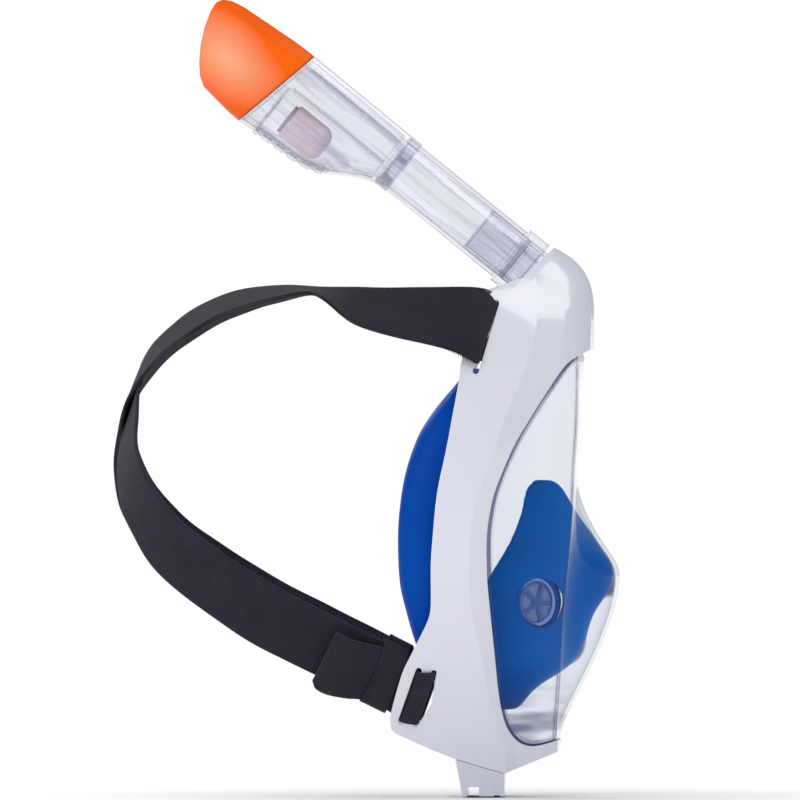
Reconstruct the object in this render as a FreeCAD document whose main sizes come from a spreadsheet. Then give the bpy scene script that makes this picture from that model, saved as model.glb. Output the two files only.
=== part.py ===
"""Full face snorkel: visor in a moulded frame, silicone skirt and cup, pull-off dry-top snorkel, strap.

Frame of reference: millimetres, the wearer looks along +X, +Z is up, +Y is the wearer's left.
The origin is the middle of the flat underside of the chin cap. Snorkel pieces are modelled
along their own Z (the tube axis, with local +X towards the front) and placed with one Placement.
"""
import FreeCAD, Part
import math
import os
import Sketcher

V = FreeCAD.Vector
doc = FreeCAD.newDocument("FullFaceSnorkel")

# ---------------------------------------------------------------- driving dimensions
DIMENSIONS = [
    ("wall", 3.0), ("visor_wall", 2.0), ("visor_inset", 1.0), ("flange_reach", 4.0),
    ("skirt_wall", 2.0), ("cup_wall", 1.8), ("fit_gap", 0.15), ("run_gap", 0.1),
    ("joint_x", 21.9), ("joint_z", 249.6), ("tube_lean", 51.0),
    ("tube_depth", 26.6), ("tube_breadth", 38.0), ("tube_wall", 1.8), ("tube_top", 84.0),
    ("collar_grow", 1.7), ("collar_height", 12.0),
    ("spigot_top", 32.0), ("spigot_wall", 1.6), ("seal_height", 2.4), ("seal_at", 8.0),
    ("body_wall", 1.8), ("cap_wall", 2.2),
    ("float_radius", 9.0), ("float_length", 22.0), ("float_nose", 6.0), ("rim_round", 1.2),
    ("float_at", 112.0), ("float_f", -16.6),
    ("pad_height", 1.6),
    ("seat_at", 142.6), ("seat_plate", 1.6), ("seat_bore", 6.0),
    ("valve_radius", 11.5), ("valve_plate", 2.4), ("valve_hub", 3.2), ("valve_rim", 2.2),
    ("disc_radius", 9.8), ("disc_plate", 0.7), ("valve_tilt", 39.0),
    ("purge_radius", 9.2), ("purge_disc_radius", 7.6),
    ("screw_radius", 1.5), ("screw_head", 2.8), ("screw_head_height", 1.6), ("screw_length", 8.0),
    ("neck_screw_length", 5.6),
    ("pin_radius", 0.9), ("latch_breadth", 16.0),
    ("strap_plate", 1.5), ("slot_gap", 2.8), ("keeper_half_breadth", 16.6), ("keeper_half_room", 3.0),
    ("keeper_length", 13.0),
    ("keeper_wall", 1.2),
]
sheet = doc.addObject("Spreadsheet::Sheet", "Dimensions")
for row, (alias, value) in enumerate(DIMENSIONS, start=1):
    sheet.set("A%d" % row, alias)
    sheet.set("B%d" % row, str(value))
    sheet.setAlias("B%d" % row, alias)
doc.recompute()


def val(alias):
    """A driving dimension read from the sheet."""
    return float(sheet.get(alias))


PARTS = []


def keep(obj, label, placement=None):
    """Name a sub-part, place it and list it for writing."""
    obj.Label = label
    if placement is not None:
        obj.Placement = placement
    PARTS.append(obj)
    return obj


def solid_part(label, shape, placement=None):
    """A sub-part whose shape comes straight from surfaces and booleans."""
    obj = doc.addObject("Part::Feature", label)
    obj.Shape = shape
    return keep(obj, label, placement)


# ---------------------------------------------------------------- frames of the sub-assemblies
LEAN = val("tube_lean")
SNORKEL = FreeCAD.Placement(V(val("joint_x"), 0, val("joint_z")), FreeCAD.Rotation(V(0, 1, 0), -LEAN))
NO_TURN = FreeCAD.Rotation()


def at_valve(side):
    """Placement of an inlet valve: local +Z points out of the cup, side is +1 left, -1 right."""
    tilt = math.radians(val("valve_tilt"))
    outward = V(math.sin(tilt), side * math.cos(tilt), 0)
    return FreeCAD.Placement(V(25.6, side * 28.2, 92.0), FreeCAD.Rotation(V(0, 0, 1), outward))


PURGE = FreeCAD.Placement(V(0, 0, 16.1), FreeCAD.Rotation(V(0, 1, 0), 17.0))

# ---------------------------------------------------------------- small geometry helpers


def smooth(points, closed=False):
    """Smooth edge through points."""
    curve = Part.BSplineCurve()
    curve.interpolate([V(*p) for p in points], PeriodicFlag=closed)
    return curve.toShape()


def prism_xz(points, y0, y1):
    """Side outline (x, z) extruded across from y0 to y1."""
    wire = Part.makePolygon([V(x, y0, z) for x, z in points + points[:1]])
    return Part.Face(wire).extrude(V(0, y1 - y0, 0))


def rounded(points, steps=4, sharp=()):
    """Outline with a smooth run of extra points between its corners; sharp lists the ones kept sharp."""
    n = len(points)
    out = []
    for i in range(n):
        p0, p1, p2, p3 = (points[(i + k) % n] for k in (-1, 0, 1, 2))
        if i in sharp:
            p0 = p1
        if (i + 1) % n in sharp:
            p3 = p2
        for k in range(steps):
            t = k / steps
            out.append(tuple(0.5 * (2 * b + (c - a) * t + (2 * a - 5 * b + 4 * c - d) * t * t
                                    + (3 * b - a - 3 * c + d) * t ** 3)
                             for a, b, c, d in zip(p0, p1, p2, p3)))
    return out


def chain(x, table):
    """Piecewise linear lookup in a list of (x, y) sorted by x."""
    if x <= table[0][0]:
        return table[0][1]
    for (x0, y0), (x1, y1) in zip(table, table[1:]):
        if x <= x1:
            return y0 + (y1 - y0) * (x - x0) / (x1 - x0)
    return table[-1][1]


def one_solid(shape):
    """The largest solid of a boolean result, without slivers."""
    return max(shape.Solids, key=lambda s: s.Volume)


def closed_solid(faces):
    """Solid sewn from faces that share their edges."""
    shell = Part.makeShell(faces)
    shell.sewShape()
    solid = Part.makeSolid(shell)
    if solid.Volume < 0:
        solid.reverse()
    return solid


# ---------------------------------------------------------------- the moulded body of the mask
# Level, half width at the rear, then (x, half width) of crease, window edge, lens corner, and x of
# the lens front at the centre line and how far it bulges forward of the corners.
LEVELS = [
    # z, rear w, crease x, w, window x, w, corner x, w, bulge
    (-4, 29, 11, 24, 15, 21, 33.5, 10, 0.0),
    (8, 33, 11, 28, 15, 25, 34.0, 13, 0.3),
    (20, 41, 11, 36, 16, 31, 35.0, 17, 0.6),
    (34, 52, 7.5, 47, 12, 41, 36.0, 22, 3.0),
    (49, 62, 3.2, 57, 8.2, 50, 37.0, 27, 9.0),
    (66, 71, 0.2, 67, 6.0, 60, 38.0, 32, 16.4),
    (84, 78, -4.0, 74.5, 4.4, 68, 39.0, 36, 22.6),
    (100, 81.5, -5.6, 78.5, 3.2, 72.5, 40.4, 39.5, 25.0),
    (108, 82.5, -5.8, 79.5, 2.7, 73.8, 41.2, 41, 23.8),
    (118, 83, -5.6, 80.5, 2.4, 75, 42.2, 43, 17.0),
    (132, 83, -4.4, 80.5, 3.4, 75, 43.4, 45, 7.4),
    (148, 82.5, 0.0, 79.5, 7.4, 73.5, 44.4, 46.5, 1.2),
    (165, 80, 6.2, 76, 14.4, 69, 45.4, 46, 0.8),
    (181, 76, 11.4, 70.5, 23.0, 62, 46.2, 44, 0.8),
    (197, 70, 18.0, 62, 33.0, 51.5, 46.4, 40, 0.8),
    (212, 62, 23.2, 52, 40.0, 43, 46.4, 34, 0.8),
]
# The brow and neck of the frame stand proud of the lens: their own levels from there up.
BROW_LEVELS = [
    # z, rear w, crease x, w, window x, w, corner x, w, bulge
    (181, 76, 11.4, 70.5, 23.0, 62, 49.5, 41, 2.0),
    (197, 71, 18.0, 63.5, 33.0, 53, 50.5, 36, 2.0),
    (212, 66, 22.9, 56.5, 38.0, 47, 50.9, 30, 1.6),
    (224, 62.0, 25.6, 50.5, 39.0, 41.5, 51.2, 25, 1.3),
    (236, 56.5, 26.0, 43.5, 38.5, 35, 50.9, 20, 1.1),
    (243, 50.5, 25.6, 38, 37.0, 30, 49.6, 17, 0.9),
    (250, 41.5, 24.0, 32, 34.0, 26, 46.2, 14, 0.8),
    (256, 31.5, 22.0, 26, 31.0, 21.5, 40.2, 11.5, 0.8),
    (262, 25.5, 17.0, 21.5, 24.0, 17.5, 30.0, 9, 0.8),
    (268, 20, 10.0, 16, 14.0, 13, 18.0, 6, 0.6),
]
FRAME_LEVELS = LEVELS[:13] + BROW_LEVELS
REAR_X = -52.0


def level_wire(level, inset):
    """Closed plan section of the mask body at one level, moved inwards by inset."""
    z, rear_w, crease_x, crease_w, win_x, win_w, corner_x, corner_w, bulge = level
    half = [
        (REAR_X, rear_w + 2.5 - inset),
        ((REAR_X + crease_x) / 2, rear_w + 0.6 - inset),
        (crease_x - 0.25 * inset, crease_w - 0.95 * inset),
        (win_x - 0.6 * inset, win_w - 0.8 * inset),
        (corner_x - 0.9 * inset, corner_w - 0.5 * inset),
    ]
    mid = ((half[3][0] + half[4][0]) / 2 + 0.8, (half[3][1] + half[4][1]) / 2 + 1.2)
    front = [
        (corner_x + (0.42 * bulge) - 0.95 * inset, corner_w * 0.64 - 0.3 * inset),
        (corner_x + (0.88 * bulge) - inset, corner_w * 0.30),
        (corner_x + bulge - inset, 0.0),
    ]

    def side_edges(sign):
        panel = smooth([(x, sign * y, z) for x, y in half[:3]])
        bezel = Part.makeLine(V(half[2][0], sign * half[2][1], z), V(half[3][0], sign * half[3][1], z))
        lens = smooth([(x, sign * y, z) for x, y in (half[3], mid, half[4])])
        return [panel, bezel, lens]

    nose = [half[4]] + front[:2]
    across = [(x, y, z) for x, y in nose] + [(front[2][0], 0, z)] + [(x, -y, z) for x, y in nose[::-1]]
    back = Part.makeLine(V(REAR_X, -half[0][1], z), V(REAR_X, half[0][1], z))
    return Part.Wire(side_edges(1) + [smooth(across)] + side_edges(-1)[::-1] + [back])


def body_solid(levels, inset):
    """Solid inside the mask body surface moved inwards by inset."""
    return Part.makeLoft([level_wire(level, inset) for level in levels], True, False)


FRAME_REAR_EDGE = [
    (18.5, 246.4), (14, 245), (3.8, 239), (-3.4, 223), (-9, 210), (-11, 197), (-13.7, 182), (-17, 164),
    (-21, 145), (-23, 125), (-24, 110), (-24, 92), (-25.6, 84), (-31, 73), (-34, 67), (-38, 58.5),
    (-42.8, 42), (-43.6, 36.5), (-42.9, 32), (-40, 29.8),
]
FRAME_FRONT = [(-24.7, 22.7), (-13, 18), (10.2, 10.9), (35, 21), (70, 35.2), (70, 292), (33, 260)]
WINDOW_EDGE = [
    (46.4, 210), (40.6, 206), (34.5, 198), (22.4, 179), (14.5, 165), (6.6, 146), (3.6, 133), (2.4, 121),
    (2.7, 105), (3.6, 94), (5.9, 70), (8.2, 47), (11, 34.5), (16.4, 26.6), (24, 24.0), (35, 26.6),
]
WINDOW_FRONT = [(80, 37), (80, 212.6), (51.4, 212)]
CHIN_ROOM = [(-60, 40), (-24.7, 26.7), (-12, 22), (10.6, 15.2), (33.6, 24.8), (60, 24.8), (60, -20),
             (-60, -20)]


def eased(points, steps=3):
    """Open line of points with smooth extra points between them."""
    padded = rounded(points, steps, sharp=(0, len(points) - 1))
    return padded[:steps * (len(points) - 1)] + [points[-1]]


FRAME_OUTLINE = eased(FRAME_REAR_EDGE) + FRAME_FRONT
WINDOW = eased(WINDOW_EDGE) + WINDOW_FRONT


def grown(outline, amount):
    """Outline moved outwards by amount (offset of the closed polygon, sharp corners kept)."""
    wire = Part.makePolygon([V(x, 0, z) for x, z in outline + outline[:1]])
    moved = wire.makeOffset2D(amount, join=2)
    return [(v.X, v.Z) for v in moved.OrderedVertexes]


# Strap slots in the side walls, as (x, z) from end to end
UPPER_SLOT = ((-2.9, 202.4), (6.5, 234.4))
LOWER_REAR_SLOT = ((-29.9, 60.4), (-38.5, 36.2))
# The front slot of the lower tab widens towards the middle: outline inside the corner radius
LOWER_FRONT_SLOT = [(-23.2, 60.0), (-22.1, 59.8), (-23.0, 55.3), (-24.7, 44.7), (-31.4, 34.5),
                    (-31.9, 34.4)]
CORNER = 0.7
SLOT_SIDES = ((30, 120), (-120, -30))


def long_slot(ends, width, y0, y1):
    """Round-ended slot between two (x, z) points, cut from y0 to y1."""
    (x0, z0), (x1, z1) = ends
    r = width / 2
    length = math.hypot(x1 - x0, z1 - z0)
    ux, uz = r * (x1 - x0) / length, r * (z1 - z0) / length
    corners = [(x0 - uz, z0 + ux), (x1 - uz, z1 + ux), (x1 + uz, z1 - ux), (x0 + uz, z0 - ux)]
    round_ends = [Part.makeCylinder(r, y1 - y0, V(x, y0, z), V(0, 1, 0)) for x, z in ends]
    return prism_xz(corners, y0, y1).fuse(round_ends)


def rounded_slot(points, y0, y1):
    """Slot with rounded corners round a small polygon of (x, z) points."""
    wire = Part.makePolygon([V(x, y0, z) for x, z in points + points[:1]])
    return Part.Face(wire.makeOffset2D(CORNER, join=0)).extrude(V(0, y1 - y0, 0))


def socket_cutter():
    """Room for the foot of the snorkel above its seat, and the bore for the spigot below it."""
    grow = val("collar_grow") + 0.45
    pocket = oval(val("tube_depth") / 2 + grow, val("tube_breadth") / 2 + grow, 0, 60)
    room_y = val("latch_breadth") / 2 + 3.2
    latch_room = Part.makeBox(24, 2 * room_y, 40, V(-34, -room_y, 0.0))
    bore = oval(SPIGOT_F + 0.05, SPIGOT_Y + 0.05, -12, 20)
    holes = [Part.makeCylinder(val("screw_radius") + 0.05, 20, V(f, y, -12)) for f, y in SPIGOT_SCREWS]
    return pocket.fuse([latch_room, bore] + holes)


def oval(half_f, half_y, z0, length):
    """Race-track prism along local Z: straight along Y, round ends across F (local X)."""
    straight = half_y - half_f
    a, b = V(half_f, -straight, z0), V(half_f, straight, z0)
    c, d = V(-half_f, straight, z0), V(-half_f, -straight, z0)
    top = Part.Arc(b, V(0, half_y, z0), c).toShape()
    bottom = Part.Arc(d, V(0, -half_y, z0), a).toShape()
    wire = Part.Wire([Part.makeLine(a, b), top, Part.makeLine(c, d), bottom])
    return Part.Face(wire).extrude(V(0, 0, length))


TUBE_F = val("tube_depth") / 2
TUBE_Y = val("tube_breadth") / 2
SPIGOT_F = TUBE_F - val("tube_wall") - val("run_gap")
SPIGOT_Y = TUBE_Y - val("tube_wall") - val("run_gap")
SPIGOT_SCREWS = [(f, side * (TUBE_Y + 2.4)) for f in (-8.0, 2.0) for side in (-1, 1)]


def in_mask(shape):
    """A shape modelled in the snorkel frame, moved to the mask frame."""
    moved = shape.copy()
    moved.Placement = SNORKEL.multiply(moved.Placement)
    return moved


def make_frame_shell():
    """White frame: side panels, bezel, brow, neck with the snorkel seat, strap bars, chin floor."""
    wall = val("wall")
    solid = body_solid(FRAME_LEVELS, 0)
    body = solid.cut(body_solid(FRAME_LEVELS, wall))
    # solid webs inside the walls: neck floor under the snorkel, rear of the neck, chin floor
    neck_rear = [(3.8, 239), (-3.4, 223), (-9, 210), (-5.6, 209), (-0.4, 222), (7, 237), (12, 243)]
    webs = [in_mask(Part.makeBox(90, 120, 4.2, V(-45, -60, -4.2))), prism_xz(neck_rear, -90, 90)]
    keep_neck = prism_xz([(-20, 209), (80, 209), (80, 300), (-20, 300)], -150, 150)
    body = body.fuse([web.common(solid).common(keep_neck) for web in webs])
    floor_band = [(-24.7, 22.7), (-13, 18), (10.2, 10.9), (35, 21), (34, 23.6), (10.6, 14.0),
                  (-12.2, 20.9), (-24.0, 25.5)]
    body = body.fuse(prism_xz(floor_band, -90, 90).common(solid))
    body = body.common(prism_xz(FRAME_OUTLINE, -150, 150))
    body = body.cut(prism_xz(grown(WINDOW, val("fit_gap")), -150, 150))
    cutters = [in_mask(socket_cutter())]
    for y0, y1 in SLOT_SIDES:
        cutters.append(long_slot(UPPER_SLOT, val("slot_gap"), y0, y1))
        cutters.append(long_slot(LOWER_REAR_SLOT, val("slot_gap"), y0, y1))
        cutters.append(rounded_slot(LOWER_FRONT_SLOT, y0, y1))
    purge_hole = Part.makeCylinder(val("purge_radius") + 0.05, 20, V(0, 0, -8))
    purge_hole.Placement = PURGE.multiply(purge_hole.Placement)
    screws = [Part.makeCylinder(val("screw_radius") + 0.05, 24, V(x, y, -12)) for x, y in CHIN_SCREWS]
    for screw in screws:
        screw.Placement = PURGE.multiply(screw.Placement)
    body = body.cut(cutters + [purge_hole] + screws)
    return solid_part("frame_shell", one_solid(body))


CHIN_SCREWS = [(-6, 22), (-6, -22), (6, 22), (6, -22)]


def make_visor():
    """Clear visor: stands a little below the bezel, with a flange that reaches behind it."""
    window = prism_xz(WINDOW, -150, 150)
    inset = val("visor_inset")
    skin = body_solid(LEVELS, inset).cut(body_solid(LEVELS, inset + val("visor_wall"))).common(window)
    below_brow = Part.makeBox(200, 300, 191, V(-60, -150, 19.5))
    flange_zone = prism_xz(grown(WINDOW, val("flange_reach")), -150, 150).common(below_brow)
    behind_bezel = val("wall") + 0.1
    flange = body_solid(LEVELS, behind_bezel).cut(body_solid(LEVELS, behind_bezel + 1.4))
    flange = flange.common(flange_zone)
    chin_room = prism_xz(CHIN_ROOM, -90, 90)
    return solid_part("visor", one_solid(skin.fuse(flange).cut(chin_room)))


# ---------------------------------------------------------------- soft silicone pieces
# Rear line of the skirt seen from the side, by level: (z, x)
SKIRT_REAR = [(30, -18), (45, -20), (52, -22), (60, -26), (73, -31.6), (84, -35), (101, -39),
              (123, -40), (139, -39), (156, -36), (173, -30), (185, -22), (197, -12), (208, -4)]
FRAME_REAR = [(30, -15), (45, -16.5), (60, -20), (84, -23.5), (110, -24), (145, -21), (164, -17),
              (182, -13.7),
              (197, -11), (208, -8)]
# Half outline of the face opening in the frame: (half width, z), top to bottom
OPENING = [(0, 206), (30, 203.5), (52, 194), (67, 174), (75, 148), (77.5, 120), (74, 90), (64, 64),
           (48, 45), (26, 34), (0, 31.5)]
OPENING_CENTRE_Z = 118.0


def loop_at(inward, reach):
    """Closed ring parallel to the face opening: moved inwards, and between frame and skirt rear."""
    half = []
    for w, z in OPENING:
        dist = math.hypot(w, z - OPENING_CENTRE_Z)
        scale = (dist - inward) / dist
        half.append((w * scale, OPENING_CENTRE_Z + (z - OPENING_CENTRE_Z) * scale))
    points = []
    for w, z in half + [(-w, z) for w, z in half[-2:0:-1]]:
        front = chain(z, FRAME_REAR)
        rear = chain(z, SKIRT_REAR)
        points.append((front + reach * (rear - front), w, z))
    return points


def ring_wire(inward, reach, shift):
    return Part.Wire([smooth([(x + shift, y, z) for x, y, z in loop_at(inward, reach)], closed=True)])


def make_face_skirt():
    """Face seal: clamped inside the frame, bulges rearwards and turns in to a soft lip."""
    t = val("skirt_wall")
    outer = [ring_wire(3.0, 0.0, 9.0), ring_wire(3.0, 0.0, 4.0), ring_wire(2.6, 0.1, -1.0),
             ring_wire(3.0, 0.6, -1.0), ring_wire(9.0, 1.0, 0.0), ring_wire(18.0, 1.0, 1.0),
             ring_wire(25.0, 0.8, 3.0)]
    inner = [ring_wire(3.0 + t, 0.0, 9.0), ring_wire(3.0 + t, 0.0, 4.0), ring_wire(2.6 + t, 0.1, -0.4),
             ring_wire(3.2 + t, 0.6, 0.6), ring_wire(10.0, 1.0, 2.0), ring_wire(17.5, 1.0, 2.8),
             ring_wire(24.4, 0.8, 4.6)]
    faces = Part.makeLoft(outer, False, False).Faces + Part.makeLoft(inner, False, False).Faces
    faces += Part.makeRuledSurface(outer[0], inner[0]).Faces
    faces += Part.makeRuledSurface(outer[-1], inner[-1]).Faces
    return solid_part("face_skirt", closed_solid(faces))


def make_retaining_ring():
    """Hoop that presses the skirt against the frame wall from the inside."""
    t = val("skirt_wall")
    corners = [(3.15 + t, 0.0, 9.0), (3.15 + t, 0.0, 4.4), (7.4 + t, 0.0, 4.4), (7.4 + t, 0.0, 9.0)]
    rings = [ring_wire(*corner) for corner in corners]
    faces = []
    for a, b in zip(rings, rings[1:] + rings[:1]):
        faces += Part.makeRuledSurface(a, b).Faces
    return solid_part("retaining_ring", closed_solid(faces))


# z, x at the rear, half width at the rear, x of the front, how blunt the nose is (0 sharp, 1 round)
CUP_LEVELS = [
    (41, 19, 14, 0.9), (47, 27, 21, 0.9), (54, 32, 29, 0.8), (62, 35, 41, 0.7), (70, 37, 47, 0.6),
    (80, 38, 50, 0.5), (90, 37.5, 54.5, 0.42), (98, 36, 60, 0.36), (106, 34, 61.6, 0.32),
    (114, 31, 59, 0.32), (124, 26, 52, 0.36), (134, 21, 44.6, 0.42), (141, 17, 40.4, 0.5),
    (146.4, 13.5, 37.0, 0.55), (150, 9, 31, 0.6),
]


def cup_wire(level, inset):
    z, half_w, front_x, blunt = level
    rear_x = -14.0
    w, x1 = half_w - inset, front_x - inset
    z += (-inset if z > 100 else inset) if level in (CUP_LEVELS[0], CUP_LEVELS[-1]) else 0
    span = x1 - rear_x
    half = [(rear_x, w + 1), (rear_x + 0.42 * span, w), (rear_x + 0.75 * span, w * (0.55 + 0.3 * blunt)),
            (rear_x + 0.95 * span, w * (0.2 + 0.35 * blunt))]
    across = [(x, y, z) for x, y in half] + [(x1, 0, z)] + [(x, -y, z) for x, y in half[::-1]]
    return Part.Wire([smooth(across), Part.makeLine(V(*across[-1]), V(*across[0]))])


def make_nose_cup():
    """Nose and mouth cup, open at the rear, with round holes for the two inlet valves."""
    wall = val("cup_wall")
    behind_visor = val("visor_inset") + val("visor_wall") + 0.6
    cup = Part.makeLoft([cup_wire(level, 0) for level in CUP_LEVELS], True, False)
    cup = cup.common(body_solid(LEVELS, behind_visor))
    cavity = Part.makeLoft([cup_wire(level, wall) for level in CUP_LEVELS], True, False)
    cavity = cavity.common(body_solid(LEVELS, behind_visor + wall))
    rim = eased([(-4, 30), (-6, 50), (-9, 70), (-5, 91), (4.4, 107), (12.6, 121), (17.6, 134), (19.6, 144),
                 (22.4, 148.6), (28, 152)])
    cup = cup.cut(cavity).cut(prism_xz([(-30, 30)] + rim + [(-30, 152)], -60, 60))
    for side in (1, -1):
        hole = Part.makeCylinder(val("valve_radius") + 0.1, 30, V(0, 0, -15))
        hole.Placement = at_valve(side)
        cup = cup.cut(hole)
    return solid_part("nose_cup", one_solid(cup))


# ---------------------------------------------------------------- sketch based pieces
def plane_of(body, role):
    return next(f for f in body.Origin.OriginFeatures if f.Role == role)


def new_sketch(body, name, role):
    sketch = body.newObject("Sketcher::SketchObject", name)
    sketch.AttachmentSupport = [(plane_of(body, role), "")]
    sketch.MapMode = "FlatFace"
    return sketch


def circle(sketch, alias, x=0.0, y=0.0):
    """Circle with its radius bound to the sheet."""
    index = sketch.addGeometry(Part.Circle(V(x, y, 0), V(0, 0, 1), val(alias)))
    con = sketch.addConstraint(Sketcher.Constraint("Radius", index, val(alias)))
    sketch.setExpression("Constraints[%d]" % con, "Dimensions.%s" % alias)
    return index


def pad(body, name, sketch, alias):
    feature = body.newObject("PartDesign::Pad", name)
    feature.Profile = sketch
    feature.setExpression("Length", "Dimensions.%s" % alias)
    body.Tip = feature
    return feature


def through_pocket(body, name, sketch):
    feature = body.newObject("PartDesign::Pocket", name)
    feature.Profile = sketch
    feature.Type = "ThroughAll"
    feature.Midplane = True
    body.Tip = feature
    return feature


def polygon(sketch, points):
    for (x0, y0), (x1, y1) in zip(points, points[1:] + points[:1]):
        sketch.addGeometry(Part.LineSegment(V(x0, y0, 0), V(x1, y1, 0)))


def spoked_disc(label, radius_alias, hub_alias, placement, count=5):
    """Valve seat: a disc with a hub, a rim and a ring of openings between the spokes."""
    body = doc.addObject("PartDesign::Body", label)
    outline = new_sketch(body, label + "_outline", "XY_Plane")
    circle(outline, radius_alias)
    pad(body, label + "_plate", outline, "valve_plate")
    window = new_sketch(body, label + "_window", "XY_Plane")
    r0, r1 = val(hub_alias), val(radius_alias) - val("valve_rim")
    half_in, half_out = math.radians(20), math.radians(29)
    polygon(window, [(r0 * math.cos(half_in), -r0 * math.sin(half_in)),
                     (r1 * math.cos(half_out), -r1 * math.sin(half_out)), (r1, 0),
                     (r1 * math.cos(half_out), r1 * math.sin(half_out)),
                     (r0 * math.cos(half_in), r0 * math.sin(half_in))])
    cut = through_pocket(body, label + "_opening", window)
    doc.recompute()
    pattern = body.newObject("PartDesign::PolarPattern", label + "_openings")
    pattern.Originals = [cut]
    pattern.Axis = (outline, ["N_Axis"])
    pattern.Angle = 360
    pattern.Occurrences = count
    body.Tip = pattern
    doc.recompute()
    return keep(body, label, placement)


def edge_at(shape, level):
    """Name of the round edge that lies in the plane z = level."""
    for index, edge in enumerate(shape.Edges, start=1):
        box = edge.BoundBox
        if abs(box.ZMin - level) < 0.001 and abs(box.ZMax - level) < 0.001:
            return "Edge%d" % index
    raise ValueError("no edge at that level")


def plain_disc(label, radius_alias, length_alias, placement):
    body = doc.addObject("PartDesign::Body", label)
    outline = new_sketch(body, label + "_outline", "XY_Plane")
    circle(outline, radius_alias)
    pad(body, label + "_plate", outline, length_alias)
    doc.recompute()
    return keep(body, label, placement)


def shifted(placement, dz):
    """Placement moved by dz along its own Z."""
    return placement.multiply(FreeCAD.Placement(V(0, 0, dz), NO_TURN))


def make_valves():
    """Inlet valves in the sides of the cup and the purge valve in the chin floor."""
    for side, word in ((1, "left"), (-1, "right")):
        place = shifted(at_valve(side), -val("valve_plate") / 2)
        spoked_disc("inlet_seat_" + word, "valve_radius", "valve_hub", place)
        plain_disc("inlet_disc_" + word, "disc_radius", "disc_plate",
                   shifted(place, -val("disc_plate") - 0.02))
    seat = shifted(PURGE, -val("valve_plate") + 0.6)
    spoked_disc("purge_seat", "purge_radius", "valve_hub", seat)
    plain_disc("purge_disc", "purge_disc_radius", "disc_plate", shifted(seat, -val("disc_plate") - 0.02))


def screw_shape(length):
    """Pan-head screw along local Z, head above the origin with a cross recess."""
    shank = Part.makeCylinder(val("screw_radius"), length, V(0, 0, -length))
    height = val("screw_head_height")
    head = Part.makeCylinder(val("screw_head"), height)
    head = head.makeFillet(0.6, [e for e in head.Edges if abs(e.BoundBox.ZMin - height) < 1e-6])
    screw = shank.fuse(head).removeSplitter()
    for angle in (0, 90):
        slot = Part.makeBox(3.0, 0.6, height, V(-1.5, -0.3, height / 2))
        slot.rotate(V(0, 0, 0), V(0, 0, 1), angle)
        screw = screw.cut(slot)
    return screw


def make_screws():
    """Chin screws point up from the cap; spigot screws point up into the neck floor."""
    length = val("screw_length")
    chin = []
    for x, y in CHIN_SCREWS:
        screw = screw_shape(length)
        turn = FreeCAD.Rotation(V(1, 0, 0), 180)
        screw.Placement = PURGE.multiply(FreeCAD.Placement(V(x, y, CHIN_SCREW_SEAT), turn))
        chin.append(screw)
    solid_part("chin_screws", Part.makeCompound(chin))
    neck = []
    for f, y in SPIGOT_SCREWS:
        screw = screw_shape(val("neck_screw_length"))
        turn = FreeCAD.Rotation(V(1, 0, 0), 180)
        screw.Placement = SNORKEL.multiply(FreeCAD.Placement(V(f, y, FLANGE_Z0), turn))
        neck.append(screw)
    solid_part("spigot_screws", Part.makeCompound(neck))


CHIN_SCREW_SEAT = -4.2
FLANGE_Z0 = -6.3


def make_chin_cap():
    """Drain housing under the chin: hollow block with castellated lower edge."""
    outline = [(-13, 17.75), (-9.8, 0), (9.8, 0), (10.2, 10.7)]
    block = body_solid(LEVELS, 0).common(prism_xz(outline, -80, 80))
    hollow_outline = [(-10.4, 20), (-7.6, 2.6), (7.6, 2.6), (8.0, 14)]
    block = block.cut(body_solid(LEVELS, 2.6).common(prism_xz(hollow_outline, -80, 80)))
    notches = [(-7.6, 5.6, 5.0), (5.0, 3.0, 1.2)]
    for x, width, height in notches:
        block = block.cut(Part.makeBox(width, 200, height, V(x, -100, -0.5)))
    bosses = []
    for x, y in CHIN_SCREWS:
        boss = Part.makeCylinder(3.4, 3.6, V(x, y, CHIN_SCREW_SEAT))
        boss.Placement = PURGE.multiply(boss.Placement)
        bosses.append(boss)
    limit = body_solid(LEVELS, 0.2).common(prism_xz(outline, -80, 80))
    block = block.fuse([boss.common(limit) for boss in bosses])
    bores = []
    for x, y in CHIN_SCREWS:
        shank = Part.makeCylinder(val("screw_radius") + 0.05, 30, V(x, y, -12))
        head = Part.makeCylinder(val("screw_head") + 0.1, 30, V(x, y, CHIN_SCREW_SEAT - 30))
        for tool in (shank, head):
            tool.Placement = PURGE.multiply(tool.Placement)
            bores.append(tool)
    return solid_part("chin_cap", one_solid(block.cut(bores)))


# ---------------------------------------------------------------- snorkel
def make_spigot():
    """Clear neck that the tube slides over, with a flange screwed under the neck floor."""
    wall = val("spigot_wall")
    top = val("spigot_top")
    neck = oval(SPIGOT_F, SPIGOT_Y, -4.3, top + 4.3)
    flange = Part.makeBox(17.5, 48.4, -4.3 - FLANGE_Z0, V(-11.8, -24.2, FLANGE_Z0))
    bore = oval(SPIGOT_F - wall, SPIGOT_Y - wall, -20, 80)
    shape = neck.fuse(flange).cut(bore)
    z0 = val("seal_at")
    height = val("seal_height")
    groove = oval(SPIGOT_F + 5, SPIGOT_Y + 5, z0 - 0.1, height + 0.2).cut(
        oval(SPIGOT_F - 0.8, SPIGOT_Y - 0.8, z0 - 0.1, height + 0.2))
    holes = [Part.makeCylinder(val("screw_radius") + 0.05, 20, V(f, y, -12)) for f, y in SPIGOT_SCREWS]
    solid_part("snorkel_spigot", shape.cut([groove] + holes), SNORKEL)
    seal = oval(SPIGOT_F + 0.04, SPIGOT_Y + 0.04, z0, height).cut(
        oval(SPIGOT_F - 0.75, SPIGOT_Y - 0.75, z0, height))
    solid_part("spigot_seal", seal, SNORKEL)


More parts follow.
